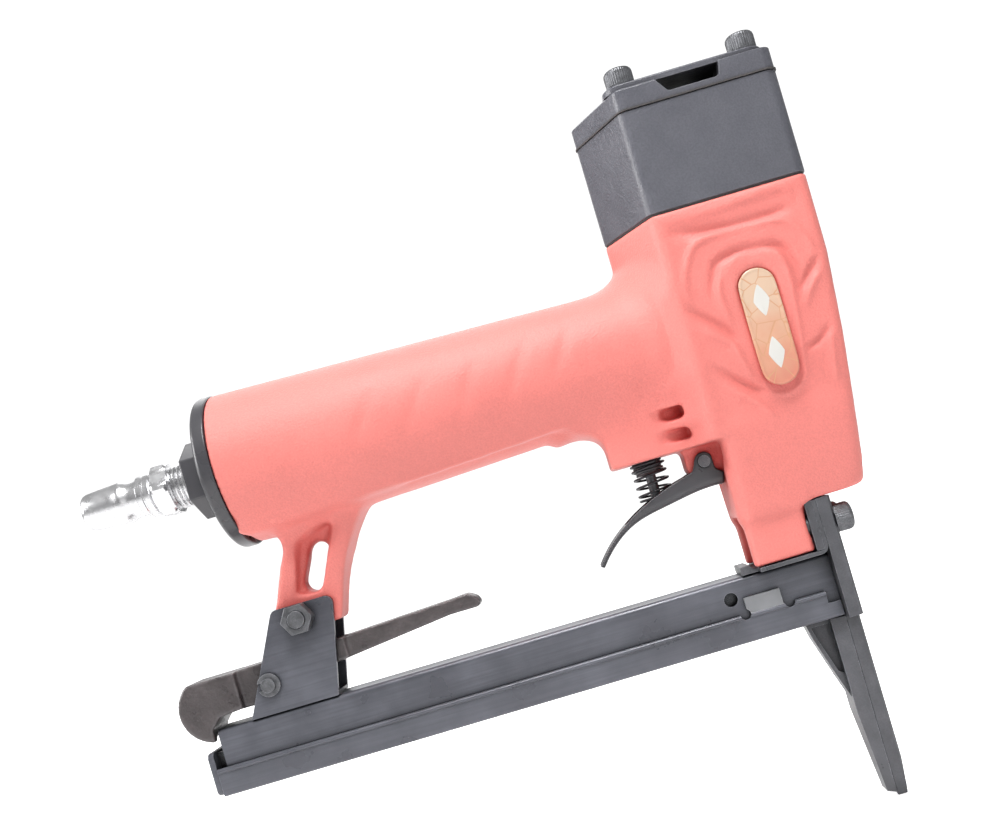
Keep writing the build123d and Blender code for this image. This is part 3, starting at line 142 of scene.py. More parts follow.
def finish(
    name, colour, roughness, metallic=0.0, mottle=0.08, mottle_scale=70.0, grain=2500.0,
    grain_depth=0.02, speckle=0.0, peel=0.0, peel_scale=350.0, stretch=(1.0, 1.0, 1.0),
    edge_wear_and_highlight=None, edge_wear_and_highlight_amount=0.6, edge=0.35, dense=False, coat=0.0, sheen=0.0,
    rough_swing=0.08, painted_shade=None, reach=7.0,
):
    """Procedural finish: mottled colour, fine grain, uneven gloss, lighter edges that are partly
    wear and partly painted highlight, and painted shade in the recesses.

    Depths, the lighter edges' width and the painted shade's reach are in mm. A dense mesh finds its
    lighter edges by pointiness, the others by a bevel.
    """
    mat = bpy.data.materials.new(name)
    mat.use_nodes = True
    tree = mat.node_tree
    shader = tree.nodes["Principled BSDF"]
    shader.inputs["Metallic"].default_value = metallic
    shader.inputs["Coat Weight"].default_value = coat
    shader.inputs["Coat Roughness"].default_value = 0.25
    shader.inputs["Sheen Weight"].default_value = sheen
    shader.inputs["Sheen Roughness"].default_value = 0.5

    coords = tree.nodes.new("ShaderNodeTexCoord")
    mapping = tree.nodes.new("ShaderNodeMapping")
    mapping.inputs["Scale"].default_value = stretch
    tree.links.new(coords.outputs["Object"], mapping.inputs["Vector"])

    def noise(scale, detail=3.0, plain=False):
        tex = tree.nodes.new("ShaderNodeTexNoise")
        tex.inputs["Scale"].default_value = scale
        tex.inputs["Detail"].default_value = detail
        source = coords.outputs["Object"] if plain else mapping.outputs["Vector"]
        tree.links.new(source, tex.inputs["Vector"])
        return tex.outputs[0]

    def ranged(value, low, high, out_low, out_high):
        ranged_node = tree.nodes.new("ShaderNodeMapRange")
        for socket, number in zip(ranged_node.inputs[1:5], (low, high, out_low, out_high)):
            socket.default_value = number
        tree.links.new(value, ranged_node.inputs[0])
        return ranged_node.outputs[0]

    def mixed(factor, first, second):
        mix = tree.nodes.new("ShaderNodeMix")
        mix.data_type = "RGBA"
        tree.links.new(factor, mix.inputs[0])
        for socket, value in ((mix.inputs[6], first), (mix.inputs[7], second)):
            if isinstance(value, tuple):
                socket.default_value = (*value, 1)
            else:
                tree.links.new(value, socket)
        return mix.outputs[2]

    def tone(share):
        return tuple(min(1.0, c * share) for c in colour)

    broad = noise(mottle_scale, 4.0, plain=True)
    fine = noise(grain)
    body = mixed(ranged(broad, 0.3, 0.7, 0, 1), tone(1 - mottle), tone(1 + mottle))
    if speckle:
        body = mixed(ranged(fine, 0.35, 0.65, 0, speckle), body, tone(0.55))
    rough = ranged(broad, 0.3, 0.7, roughness - rough_swing, roughness + rough_swing)
    # lighter edges: partly wear, partly painted highlight where the edges would catch the light
    if edge_wear_and_highlight is not None:
        geometry = tree.nodes.new("ShaderNodeNewGeometry")
        if dense:
            edges = ranged(geometry.outputs["Pointiness"], *POINTY_RANGE, 0, edge_wear_and_highlight_amount)
        else:
            bevel = tree.nodes.new("ShaderNodeBevel")
            bevel.samples = 4
            bevel.inputs["Radius"].default_value = edge * MM
            dot = tree.nodes.new("ShaderNodeVectorMath")
            dot.operation = "DOT_PRODUCT"
            tree.links.new(bevel.outputs[0], dot.inputs[0])
            tree.links.new(geometry.outputs["Normal"], dot.inputs[1])
            edges = ranged(dot.outputs["Value"], *ROUNDED_RANGE, 0, edge_wear_and_highlight_amount)
        patches = ranged(noise(mottle_scale * 6, 5.0), 0.38, 0.62, 0.15, 1)
        product = tree.nodes.new("ShaderNodeMath")
        product.operation = "MULTIPLY"
        tree.links.new(edges, product.inputs[0])
        tree.links.new(patches, product.inputs[1])
        body = mixed(product.outputs[0], body, edge_wear_and_highlight)
    # painted shade: the base colour turns towards the given shade colour where ambient occlusion
    # finds a recess
    if painted_shade is not None:
        hollow = tree.nodes.new("ShaderNodeAmbientOcclusion")
        hollow.samples = 4
        hollow.inputs["Distance"].default_value = reach * MM
        body = mixed(ranged(hollow.outputs["AO"], *OPEN_RANGE, PAINTED_SHADE_SHARE, 0), body, painted_shade)
    tree.links.new(body, shader.inputs["Base Color"])
    tree.links.new(rough, shader.inputs["Roughness"])

    bump = tree.nodes.new("ShaderNodeBump")
    bump.inputs["Strength"].default_value = 1.0
    bump.inputs["Distance"].default_value = grain_depth * MM
    tree.links.new(fine, bump.inputs["Height"])
    if peel:
        under = tree.nodes.new("ShaderNodeBump")
        under.inputs["Distance"].default_value = peel * MM
        tree.links.new(noise(peel_scale, 2.0, plain=True), under.inputs["Height"])
        tree.links.new(under.outputs[0], bump.inputs["Normal"])
    tree.links.new(bump.outputs[0], shader.inputs["Normal"])
    return mat


ALONG_X = (0.03, 1.0, 1.0)        # grain drawn out along X
ALONG_Z = (1.0, 1.0, 0.03)
LATHE_MARKS = (1, 1, 12)          # fine rings round Z
STEEL_EDGE = (0.30, 0.31, 0.34)
MATERIALS = {
    # each finish's recess colour is painted shade, laid into its recesses by ambient occlusion
    "red_powder_coat": finish(
        "red_powder_coat", (0.70, 0.185, 0.160), 0.52, mottle=0.06, mottle_scale=45, grain=1900,
        grain_depth=0.17, speckle=0.20, peel=0.10, peel_scale=520, edge_wear_and_highlight=(0.95, 0.30, 0.25),
        edge_wear_and_highlight_amount=0.30, dense=True, sheen=0.10, painted_shade=(0.50, 0.050, 0.040), reach=16,
    ),
    # the cast cap's lighter edges are partly wear and partly painted highlight along its edges
    "black_cast": finish(
        "black_cast", (0.085, 0.086, 0.102), 0.36, mottle=0.06, mottle_scale=120, grain=1900,
        grain_depth=0.10, speckle=0.35, peel=0.10, peel_scale=700, edge_wear_and_highlight=(0.28, 0.28, 0.31),
        edge_wear_and_highlight_amount=0.6, edge=0.45, painted_shade=(0.005, 0.005, 0.006), reach=8,
    ),
    "satin_black": finish(
        "satin_black", (0.045, 0.044, 0.049), 0.30, mottle=0.15, grain=1500, grain_depth=0.012,
        peel=0.02, edge_wear_and_highlight=(0.22, 0.22, 0.24), edge_wear_and_highlight_amount=0.5, painted_shade=(0.006, 0.006, 0.007), reach=5,
    ),
    "gasket": finish(
        "gasket", (0.055, 0.050, 0.050), 0.75, mottle=0.25, mottle_scale=250, grain=3000,
        grain_depth=0.05, speckle=0.4,
    ),
    "black_oxide": finish(
        "black_oxide", (0.120, 0.122, 0.130), 0.40, metallic=0.55, mottle=0.35, mottle_scale=500,
        grain=2600, grain_depth=0.05, speckle=0.4, edge_wear_and_highlight=STEEL_EDGE, edge_wear_and_highlight_amount=0.7,
    ),
    "bare_steel": finish(
        "bare_steel", (0.21, 0.215, 0.225), 0.36, metallic=0.7, mottle=0.2, grain=1300,
        grain_depth=0.02, stretch=ALONG_X, edge_wear_and_highlight=(0.75, 0.75, 0.77), edge_wear_and_highlight_amount=0.5, edge=0.25,
    ),
    "sleeve_aluminium": finish(
        "sleeve_aluminium", (0.62, 0.62, 0.64), 0.28, metallic=1.0, grain=1500, grain_depth=0.01,
        stretch=LATHE_MARKS,
    ),
    "piston_aluminium": finish(
        "piston_aluminium", (0.66, 0.66, 0.68), 0.25, metallic=1.0, grain=1500, grain_depth=0.01,
        stretch=LATHE_MARKS,
    ),
    "seal_rubber": finish("seal_rubber", (0.012, 0.012, 0.013), 0.55, grain=2500, grain_depth=0.02),
    "bumper_rubber": finish(
        "bumper_rubber", (0.03, 0.03, 0.032), 0.65, grain=2000, grain_depth=0.03, mottle=0.2,
    ),
    "driver_steel": finish(
        "driver_steel", (0.50, 0.50, 0.52), 0.28, metallic=1.0, grain=900, grain_depth=0.01,
        stretch=ALONG_Z,
    ),
    "valve_polymer": finish(
        "valve_polymer", (0.70, 0.68, 0.62), 0.45, grain=1800, grain_depth=0.015, mottle=0.1,
    ),
    "valve_brass": finish(
        "valve_brass", (0.055, 0.052, 0.054), 0.34, metallic=0.4, grain=1800, grain_depth=0.02,
        mottle=0.3, edge_wear_and_highlight=STEEL_EDGE, edge_wear_and_highlight_amount=0.35, edge=0.2,
    ),
    "spring_steel": finish(
        "spring_steel", (0.35, 0.35, 0.37), 0.30, metallic=1.0, grain=1500, grain_depth=0.01,
    ),
    "black_spring": finish(
        "black_spring", (0.030, 0.030, 0.034), 0.30, metallic=0.5, grain=1500, grain_depth=0.01,
        mottle=0.3,
    ),
    "nickel": finish(
        "nickel", (0.62, 0.62, 0.63), 0.28, metallic=1.0, mottle=0.05, mottle_scale=300,
        grain=1400, grain_depth=0.012, stretch=(9, 1, 1), rough_swing=0.05,
        edge_wear_and_highlight=(0.95, 0.95, 0.95), edge_wear_and_highlight_amount=0.4, edge=0.2,
    ),
    "nose_steel": finish(
        "nose_steel", (0.080, 0.081, 0.090), 0.34, metallic=0.30, mottle=0.25, mottle_scale=150,
        grain=2200, grain_depth=0.045, speckle=0.3, edge_wear_and_highlight=STEEL_EDGE, edge_wear_and_highlight_amount=0.65,
        painted_shade=(0.008, 0.008, 0.010), reach=8,
    ),
    "blued_sheet": finish(
        "blued_sheet", (0.095, 0.098, 0.116), 0.34, metallic=0.30, mottle=0.22, mottle_scale=90,
        grain=1300, grain_depth=0.018, speckle=0.35, stretch=ALONG_X, edge_wear_and_highlight=(0.32, 0.34, 0.38),
        edge_wear_and_highlight_amount=0.6, painted_shade=(0.008, 0.009, 0.012), reach=6,
    ),
    "rail_steel": finish(
        "rail_steel", (0.30, 0.31, 0.33), 0.32, metallic=0.9, grain=1300, grain_depth=0.015,
        stretch=ALONG_X, painted_shade=(0.008, 0.008, 0.009), reach=9,
    ),
    "latch_cast": finish(
        "latch_cast", (0.060, 0.051, 0.052), 0.33, mottle=0.3, mottle_scale=160, grain=1500,
        grain_depth=0.09, speckle=0.35, peel=0.12, peel_scale=500, edge_wear_and_highlight=(0.24, 0.22, 0.23),
        edge_wear_and_highlight_amount=0.5, dense=True, painted_shade=(0.010, 0.008, 0.008), reach=6,
    ),
}


BADGE_FADE = (0.120, 0.150)       # heights in metres between which the enamel pales
CRACK_WIDTHS = (0.006, 0.028)     # share of a crackle cell, from the line's middle to its edge


def badge_finish():
    """Cream to orange vitreous enamel, crossed by fine crackle lines, under a clear gloss."""
    mat = bpy.data.materials.new("badge_enamel")
    mat.use_nodes = True
    tree = mat.node_tree
    shader = tree.nodes["Principled BSDF"]
    shader.inputs["Roughness"].default_value = 0.32
    shader.inputs["Coat Weight"].default_value = 0.25
    shader.inputs["Coat Roughness"].default_value = 0.15
    coords = tree.nodes.new("ShaderNodeTexCoord")
    split = tree.nodes.new("ShaderNodeSeparateXYZ")
    tree.links.new(coords.outputs["Object"], split.inputs[0])
    fade = tree.nodes.new("ShaderNodeMapRange")
    fade.inputs["From Min"].default_value, fade.inputs["From Max"].default_value = BADGE_FADE
    tree.links.new(split.outputs["Z"], fade.inputs["Value"])
    cloud = tree.nodes.new("ShaderNodeTexNoise")
    cloud.inputs["Scale"].default_value = 180
    tree.links.new(coords.outputs["Object"], cloud.inputs["Vector"])
    add = tree.nodes.new("ShaderNodeMath")
    add.operation = "MULTIPLY_ADD"
    add.inputs[1].default_value = 0.5
    tree.links.new(cloud.outputs[0], add.inputs[0])
    tree.links.new(fade.outputs["Result"], add.inputs[2])
    ramp = tree.nodes.new("ShaderNodeValToRGB")
    ramp.color_ramp.elements[0].position = 0.15
    ramp.color_ramp.elements[0].color = (0.50, 0.16, 0.11, 1)
    ramp.color_ramp.elements[1].position = 1.0
    ramp.color_ramp.elements[1].color = (0.54, 0.38, 0.27, 1)
    middle = ramp.color_ramp.elements.new(0.6)
    middle.color = (0.54, 0.27, 0.17, 1)
    tree.links.new(add.outputs[0], ramp.inputs["Fac"])
    crack = tree.nodes.new("ShaderNodeTexVoronoi")
    crack.feature = "DISTANCE_TO_EDGE"
    crack.inputs["Scale"].default_value = 190
    tree.links.new(coords.outputs["Object"], crack.inputs["Vector"])
    line = tree.nodes.new("ShaderNodeMapRange")
    line.inputs["From Min"].default_value, line.inputs["From Max"].default_value = CRACK_WIDTHS
    tree.links.new(crack.outputs["Distance"], line.inputs["Value"])
    mix = tree.nodes.new("ShaderNodeMix")
    mix.data_type = "RGBA"
    mix.inputs[6].default_value = (0.50, 0.26, 0.14, 1)
    tree.links.new(line.outputs["Result"], mix.inputs[0])
    tree.links.new(ramp.outputs["Color"], mix.inputs[7])
    tree.links.new(mix.outputs[2], shader.inputs["Base Color"])
    bump = tree.nodes.new("ShaderNodeBump")
    bump.inputs["Distance"].default_value = 0.03 * MM
    tree.links.new(line.outputs["Result"], bump.inputs["Height"])
    tree.links.new(bump.outputs[0], shader.inputs["Normal"])
    return mat


MATERIALS["badge_enamel"] = badge_finish()
MATERIALS["badge_white"] = finish(
    "badge_white", (0.54, 0.53, 0.50), 0.4, mottle=0.03, grain=2500, grain_depth=0.01, coat=0.4,
)


def floor_piece():
    """Wide pale floor just under the nose tip, which looks white to the camera."""
    mesh = bpy.data.meshes.new("floor")
    half, level = 6.0, -0.0006     # metres
    mesh.from_pydata(
        [(-half, -half, level), (half, -half, level), (half, half, level), (-half, half, level)],
        [], [(0, 1, 2, 3)],
    )
    floor = bpy.data.objects.new("floor", mesh)
    bpy.context.scene.collection.objects.link(floor)
    mat = finish(
        "floor", (0.88, 0.88, 0.88), 0.7, mottle=0.01, mottle_scale=6, grain=400, grain_depth=0.01,
    )
    tree = mat.node_tree
    shader = tree.nodes["Principled BSDF"]
    shader.inputs["Emission Color"].default_value = (1, 1, 1, 1)
    path = tree.nodes.new("ShaderNodeLightPath")
    glow = tree.nodes.new("ShaderNodeMapRange")
    glow.inputs["To Min"].default_value = 0.15
    glow.inputs["To Max"].default_value = 0.95
    tree.links.new(path.outputs["Is Camera Ray"], glow.inputs["Value"])
    tree.links.new(glow.outputs["Result"], shader.inputs["Emission Strength"])
    mesh.materials.append(mat)


floor_piece()


# ------------------------------------------------------------------ mesh helpers
WELD_REACH = 2e-6                 # metres
FLAT_ANGLE = math.radians(0.7)
BEVEL_ANGLE = math.radians(32.0)


def piece(name, mesh, body, slot, *nodes, material=None):
    """A finished piece that rides on a body and stands for some CAD nodes."""
    obj = bpy.data.objects.new(name, mesh)
    bpy.context.scene.collection.objects.link(obj)
    mesh.materials.clear()
    mesh.materials.append(MATERIALS[material or slot])
    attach(obj, body)
    if nodes:
        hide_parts(*nodes)
    return obj


def welded(node, dissolve=True):
    """Copy of a CAD node's mesh with its seams welded and its flat faces joined."""
    mesh = NODES[node].data.copy()
    for attribute in list(mesh.attributes):
        if attribute.name == "custom_normal":
            mesh.attributes.remove(attribute)
    bm = bmesh.new()
    bm.from_mesh(mesh)
    bmesh.ops.remove_doubles(bm, verts=bm.verts, dist=WELD_REACH)
    if dissolve:
        bmesh.ops.dissolve_limit(
            bm, angle_limit=FLAT_ANGLE, verts=bm.verts, edges=bm.edges, delimit=set(),
        )
    for face in bm.faces:
        face.smooth = True
    bm.to_mesh(mesh)
    bm.free()
    return mesh


def softened(node, body, slot, width):
    """A CAD node with its edges broken by a small bevel of that width in mm."""
    obj = piece(node + "_finish", welded(node), body, slot, node)
    bevel = obj.modifiers.new("edges", "BEVEL")
    bevel.width = width * MM
    bevel.segments = 2
    bevel.limit_method = "ANGLE"
    bevel.angle_limit = BEVEL_ANGLE
    bevel.use_clamp_overlap = True
    bevel.harden_normals = True
    bevel.miter_outer = "MITER_ARC"
    return obj


def voxelled(mesh, voxel):
    """Even voxel skin of a closed mesh, voxel size in mm, as (points in mm, mesh)."""
    source = bpy.data.objects.new("voxel_source", mesh)
    bpy.context.scene.collection.objects.link(source)
    remesh = source.modifiers.new("remesh", "REMESH")
    remesh.mode = "VOXEL"
    remesh.voxel_size = voxel * MM
    remesh.use_smooth_shade = True
    graph = bpy.context.evaluated_depsgraph_get()
    skin = bpy.data.meshes.new_from_object(source.evaluated_get(graph))
    bpy.data.objects.remove(source)
    points = np.empty(len(skin.vertices) * 3, np.float32)
    skin.vertices.foreach_get("co", points)
    return points.reshape(-1, 3).astype(float) / MM, skin


def put_points(mesh, points):
    """Writes points in mm back to a mesh and shades it smooth."""
    mesh.vertices.foreach_set("co", (points * MM).astype(np.float32).ravel())
    mesh.shade_smooth()
    mesh.update()


def mesh_edges(mesh):
    """Both end points' numbers of every edge."""
    ends = np.empty(len(mesh.edges) * 2, np.int32)
    mesh.edges.foreach_get("vertices", ends)
    return ends.reshape(-1, 2)


def relax(points, ends, weight, rounds):
    """Laplacian smoothing, half way each round; weight is each point's share of the move."""
    here = np.concatenate([ends[:, 0], ends[:, 1]])
    there = np.concatenate([ends[:, 1], ends[:, 0]])
    count = np.maximum(np.bincount(here, minlength=len(points)), 1)[:, None]
    share = (weight * 0.5)[:, None]
    for _ in range(rounds):
        total = np.stack(
            [np.bincount(here, weights=points[there, k], minlength=len(points)) for k in range(3)],
            axis=1,
        )
        points = points + share * (total / count - points)
    return points


def step_up(value, low, high):
    """Smooth step from 0 at low to 1 at high."""
    t = np.clip((value - low) / (high - low), 0, 1)
    return t * t * (3 - 2 * t)


def window(value, low, high, fade):
    """1 between low and high, fading to 0 outside over the fade."""
    return step_up(value, low - fade, low) * (1 - step_up(value, high, high + fade))


def smooth_min(a, b, blend):
    """Union of two distance fields with a fillet of about that size."""
    blend = np.maximum(blend, 1e-3)
    h = np.clip(0.5 + 0.5 * (b - a) / blend, 0, 1)
    return b * (1 - h) + a * h - blend * h * (1 - h)


def ring_mesh(name, rings, closed=False):
    """Skin over rings of equal count, each an array of points in mm, capped unless it closes."""
    count = len(rings[0])
    points = np.concatenate(rings) * MM
    faces = []
    last = len(rings) if closed else len(rings) - 1
    for i in range(last):
        a, b = i * count, ((i + 1) % len(rings)) * count
        for k in range(count):
            n = (k + 1) % count
            faces.append((a + k, a + n, b + n, b + k))
    if not closed:
        faces.append(tuple(range(count))[::-1])
        faces.append(tuple(range((len(rings) - 1) * count, len(rings) * count)))
    mesh = bpy.data.meshes.new(name)
    mesh.from_pydata(points.tolist(), [], faces)
    bm = bmesh.new()
    bm.from_mesh(mesh)
    bmesh.ops.remove_doubles(bm, verts=bm.verts, dist=1e-7)
    bmesh.ops.recalc_face_normals(bm, faces=bm.faces)
    bm.to_mesh(mesh)
    bm.free()
    return mesh


def joined(name, meshes):
    """One mesh out of several."""
    bm = bmesh.new()
    for mesh in meshes:
        bm.from_mesh(mesh)
    mesh = bpy.data.meshes.new(name)
    bm.to_mesh(mesh)
    bm.free()
    return mesh


def crease(mesh, degrees):
    """Smooth shading that breaks at edges sharper than the angle."""
    mesh.shade_smooth()
    bm = bmesh.new()
    bm.from_mesh(mesh)
    limit = math.radians(degrees)
    for edge in bm.edges:
        edge.smooth = edge.calc_face_angle(0.0) < limit
    bm.to_mesh(mesh)
    bm.free()
    return mesh


def axis_frame(origin, axis):
    """Origin and three unit vectors, the third along the axis."""
    w = Vector(axis).normalized()
    u = Vector((0, 1, 0)) if abs(w.y) < 0.9 else Vector((1, 0, 0))
    u = (u - w * u.dot(w)).normalized()
    v = w.cross(u)
    return np.array(origin, float), np.array(u), np.array(v), np.array(w)


def turned(origin, axis, profile, count, shape=None):
    """Rings of count points about an axis, from (radius, height) pairs.

    shape(ring number, angles, radii) may alter a ring's radii.
    """
    o, u, v, w = axis_frame(origin, axis)
    angles = np.arange(count) * 2 * math.pi / count
    rings = []
    for i, (radius, height) in enumerate(profile):
        radii = np.full(count, float(radius))
        if shape is not None:
            radii = shape(i, angles, radii)
        across = np.outer(radii * np.cos(angles), u) + np.outer(radii * np.sin(angles), v)
        rings.append(o + w * height + across)
    return rings


def hex_radii(angles, across_flats, turn=0.0, corner=None):
    """Radius of a hexagon at each angle, its corners cut at a corner radius if given."""
    sector = (angles + turn + math.pi / 6) % (math.pi / 3) - math.pi / 6
    radii = across_flats / 2 / np.cos(sector)
    return radii if corner is None else np.minimum(radii, corner)


# ------------------------------------------------------------------ body casting
# half widths are along Y, fronts and backs along X, tops and bottoms along Z, all mm
HEAD_BOTTOM, HEAD_TOP = 109.8, 171.5
HEAD_Z = (HEAD_BOTTOM, 128.0, 150.0, HEAD_TOP)
HEAD_FRONTS = (16.6, 18.2, 19.9, 20.0)
HEAD_HALVES = (17.5, 20.5, 21.8, 22.0)
HEAD_TIP, HEAD_CORNER = -36.0, -23.5
SKIRT_BOTTOM = 86.9
SKIRT_Z = (SKIRT_BOTTOM, HEAD_BOTTOM)
SKIRT_FRONTS = (15.0, HEAD_FRONTS[0])
SKIRT_HALVES = (11.5, HEAD_HALVES[0])
BLOCK_HALF, BLOCK_FRONT, BLOCK_BACK, BLOCK_BOTTOM = 10.5, -3.9, -21.2, 72.8
HANDLE_BACK, HANDLE_FRONT = -154.4, -30.0
HANDLE_X = (HANDLE_BACK, -50.0)
HANDLE_RADII = (21.8, 18.2)
HANDLE_CENTRES = (140.5, 141.2)
HOUSING_HALF, HOUSING_FRONT, HOUSING_BACK, HOUSING_TOP = 10.5, -24.0, -51.8, 132.0
HOLLOW_X, HOLLOW_Z, HOLLOW_RADIUS = -60.41, 115.0, 8.61
HANDLE_FILLET, HOUSING_FILLET, BLOCK_FILLET = 9.5, 8.0, 4.0


def head_field(p):
    """Rough distances to the head with its skirt, and to the block below it, mm."""
    x, y, z = p[:, 0], np.abs(p[:, 1]), p[:, 2]
    half = np.interp(z, HEAD_Z, HEAD_HALVES)
    front = np.interp(z, HEAD_Z, HEAD_FRONTS)
    depth = HEAD_CORNER - HEAD_TIP
    vee = (y * depth - (x - HEAD_TIP) * half) / np.hypot(half, depth)
    upper = np.max([y - half, x - front, vee, HEAD_BOTTOM - z], axis=0)
    low_half = np.interp(z, SKIRT_Z, SKIRT_HALVES)
    low_front = np.interp(z, SKIRT_Z, SKIRT_FRONTS)
    lower = np.max([y - low_half, x - low_front, BLOCK_BACK - x, SKIRT_BOTTOM - z], axis=0)
    block = np.max([y - BLOCK_HALF, x - BLOCK_FRONT, BLOCK_BACK - x, BLOCK_BOTTOM - z], axis=0)
    return np.minimum(upper, lower), block


def handle_field(p):
    """Rough distance to the handle, which ends inside the head."""
    x, y, z = p.T
    radius = np.interp(x, HANDLE_X, HANDLE_RADII)
    centre = np.interp(x, HANDLE_X, HANDLE_CENTRES)
    return np.max([np.hypot(y, z - centre) - radius, x - HANDLE_FRONT, HANDLE_BACK - x], axis=0)


def housing_field(p):
    """Rough distance to the trigger housing, with its hollow rear corner."""
    x, y, z = p.T
    hollow = HOLLOW_RADIUS - np.hypot(x - HOLLOW_X, z - HOLLOW_Z)
    rear = np.where(z < HOLLOW_Z, HOUSING_BACK - x, hollow)
    return np.max(
        [np.abs(y) - HOUSING_HALF, rear, HEAD_BOTTOM - z, x - HOUSING_FRONT, z - HOUSING_TOP],
        axis=0,
    )


def sharp_body(p):
    """Rough distance to the casting without its fillets."""
    head, block = head_field(p)
    return np.min([head, block, handle_field(p), housing_field(p)], axis=0)


def cast_body(p):
    """The same with the casting's fillets, which fade out near the gasket, pockets and seats."""
    head, block = head_field(p)
    z = p[:, 2]
    main = smooth_min(head, handle_field(p), HANDLE_FILLET * (1 - step_up(z, 161.0, 168.5)))
    main = smooth_min(main, housing_field(p), HOUSING_FILLET * step_up(z, 111.0, 117.0))
    fade = step_up(z, 75.0, 80.0) * (1 - step_up(z, 100.0, 106.0))
    return smooth_min(main, block, BLOCK_FILLET * fade)


def slope(field, p, reach=0.05):
    """A field's value and gradient at the points."""
    base = field(p)
    grad = np.empty_like(p)
    for k in range(3):
        moved = p.copy()
        moved[:, k] += reach
        grad[:, k] = (field(moved) - base) / reach
    return base, grad


def spline(points, per=10):
    """Catmull-Rom curve through 2-D points."""
    p = np.array([points[0], *points, points[-1]], float)
    out = []
    for i in range(len(p) - 3):
        t = np.linspace(0, 1, per, endpoint=False)[:, None]
        a, b, c, d = p[i:i + 4]
        out.append(0.5 * (2 * b + (c - a) * t + (2 * a - 5 * b + 4 * c - d) * t ** 2
                          + (3 * b - a - 3 * c + d) * t ** 3))
    out.append(p[-1:])
    return np.concatenate(out)


def along(flat, line):
    """Distance from each flat point to a polyline, and how far along it that is, 0 to 1."""
    best = np.full(len(flat), 1e9)
    place = np.zeros(len(flat))
    for i in range(len(line) - 1):
        a, ab = line[i], line[i + 1] - line[i]
        t = np.clip(((flat - a) @ ab) / max(ab @ ab, 1e-9), 0, 1)
        d = np.hypot(*(flat - a - t[:, None] * ab).T)
        nearer = d < best
        best[nearer] = d[nearer]
        place[nearer] = (i + t[nearer]) / (len(line) - 1)
    return best, place


# raised and sunk lines on the head's sides: height, half breadth, points (X, Z), all mm
RELIEF = (
    (-0.55, 1.30, ((-19, 165.4), (-11, 164.0), (-3.2, 163.1), (5, 163.0), (12.2, 163.6))),
    (0.22, 1.20, (
        (-19.5, 168.8), (-8, 168.4), (3, 169.2), (11.5, 169.6), (13.6, 167.5), (13.2, 164.8),
    )),
    (0.34, 0.95, (
        (-19.6, 147), (-19.4, 153), (-15.8, 159.6), (-12.1, 161.9), (-3.4, 162.4), (7.9, 161.5),
        (12.5, 158.5), (15.2, 153), (14.6, 149.4),
    )),
    (-0.55, 1.15, (
        (-13.4, 147), (-11.6, 152.2), (-9.4, 155.1), (-3.6, 156.2), (5.5, 155.2), (8.4, 153.3),
        (9.8, 148.3), (9.7, 143.1),
    )),
    (0.30, 0.85, ((-10.2, 151.3), (-11.6, 148.1), (-11.4, 142.9), (-10.6, 137.4))),
    (0.26, 0.80, (
        (-8.0, 151.4), (-4.6, 155.0), (1.1, 155.6), (5.6, 153.4), (7.4, 147.5), (6.9, 138),
        (5.4, 124.2), (4.8, 119.6), (0.9, 116.6), (-4.2, 117.0), (-8.4, 121.0),
    )),
    (-0.50, 1.00, ((-20.6, 144.9), (-16.8, 141.5), (-13.1, 137.6), (-10.4, 133.4))),
    (0.34, 0.90, ((-20.1, 139.7), (-15.5, 136), (-12, 133.2), (-10.8, 128.6), (-9.1, 122.6))),
    (-0.50, 1.00, ((-17.8, 128.3), (-13.9, 124), (-9.3, 120), (-6.2, 118.2))),
    (0.34, 0.90, ((-16.2, 122.2), (-12.1, 118.3), (-8.4, 114.8), (-6.0, 111.4))),
    (-0.42, 1.00, ((9.6, 141.6), (13, 145.5), (16.3, 148.6))),
    (0.28, 0.90, ((9.5, 137.2), (12.9, 142.2), (15.7, 144.8))),
    (-0.42, 1.00, ((7.4, 126.4), (10.7, 127.4), (14.6, 130.4))),
    (0.28, 0.90, ((14.4, 129), (13.3, 122), (12.6, 115.2))),
)
RELIEF_GAIN = 2.3
SINK = 0.45      # how far the field between the raised lines lies below the head's sides
# shallow slanted grip grooves along the handle: lower and upper end (X, Z)
GRIP = (
    ((-117, 134.5), (-108, 149.5)),
    ((-103, 133.5), (-93, 150.0)),
    ((-88.5, 133.5), (-78.5, 150.5)),
    ((-74.5, 134.5), (-64.5, 151.0)),
    ((-60.5, 137.0), (-52.5, 151.0)),
)
GRIP_DEPTH, GRIP_BREADTH = 0.15, 1.9
BODY_VOXEL = 0.55
SEAM_REACH = 0.9      # how near the sharp form a point lies to take part in a fillet
SEAM_BOTTOM = 74.5
SIDE_LIMIT = 22.28    # the relief's highest points along Y


def fill_seams(points):
    """Moves the points near the joins of handle, head, housing and block onto their fillets."""
    start = sharp_body(points)
    chosen = np.flatnonzero(
        (np.abs(start) < SEAM_REACH) & (np.abs(cast_body(points) - start) > 0.01)
        & (points[:, 2] > SEAM_BOTTOM)
    )
    p = points[chosen]
    for _ in range(6):
        value, grad = slope(cast_body, p)
        steep = np.maximum((grad ** 2).sum(1), 0.2)
        p = p - 0.85 * ((value - start[chosen]) / steep)[:, None] * grad
    points[chosen] = p


def pocket_zone(x, z):
    """1 round the wedge pockets, fading to 0."""
    return window(z, 110.0, 124.5, 1.5) * window(x, -40.0, -26.0, 1.5)


def blend_parts(points, ends):
    """Smooths the casting where its parts run together."""
    x, _, z = points.T
    leg = window(x, -152.0, -112.0, 6.0) * window(z, 114.0, 124.0, 4.0)
    neck = window(x, -62.0, -27.0, 4.0) * window(z, 118.0, 160.0, 4.0) * (1 - pocket_zone(x, z))
    front_corner = step_up(x, 8.0, 13.0) * (1 - step_up(z, 90.0, 95.0))
    for zone, rounds in ((leg, 60), (neck, 32), (front_corner, 60)):
        points = relax(points, ends, zone, rounds)
    return points


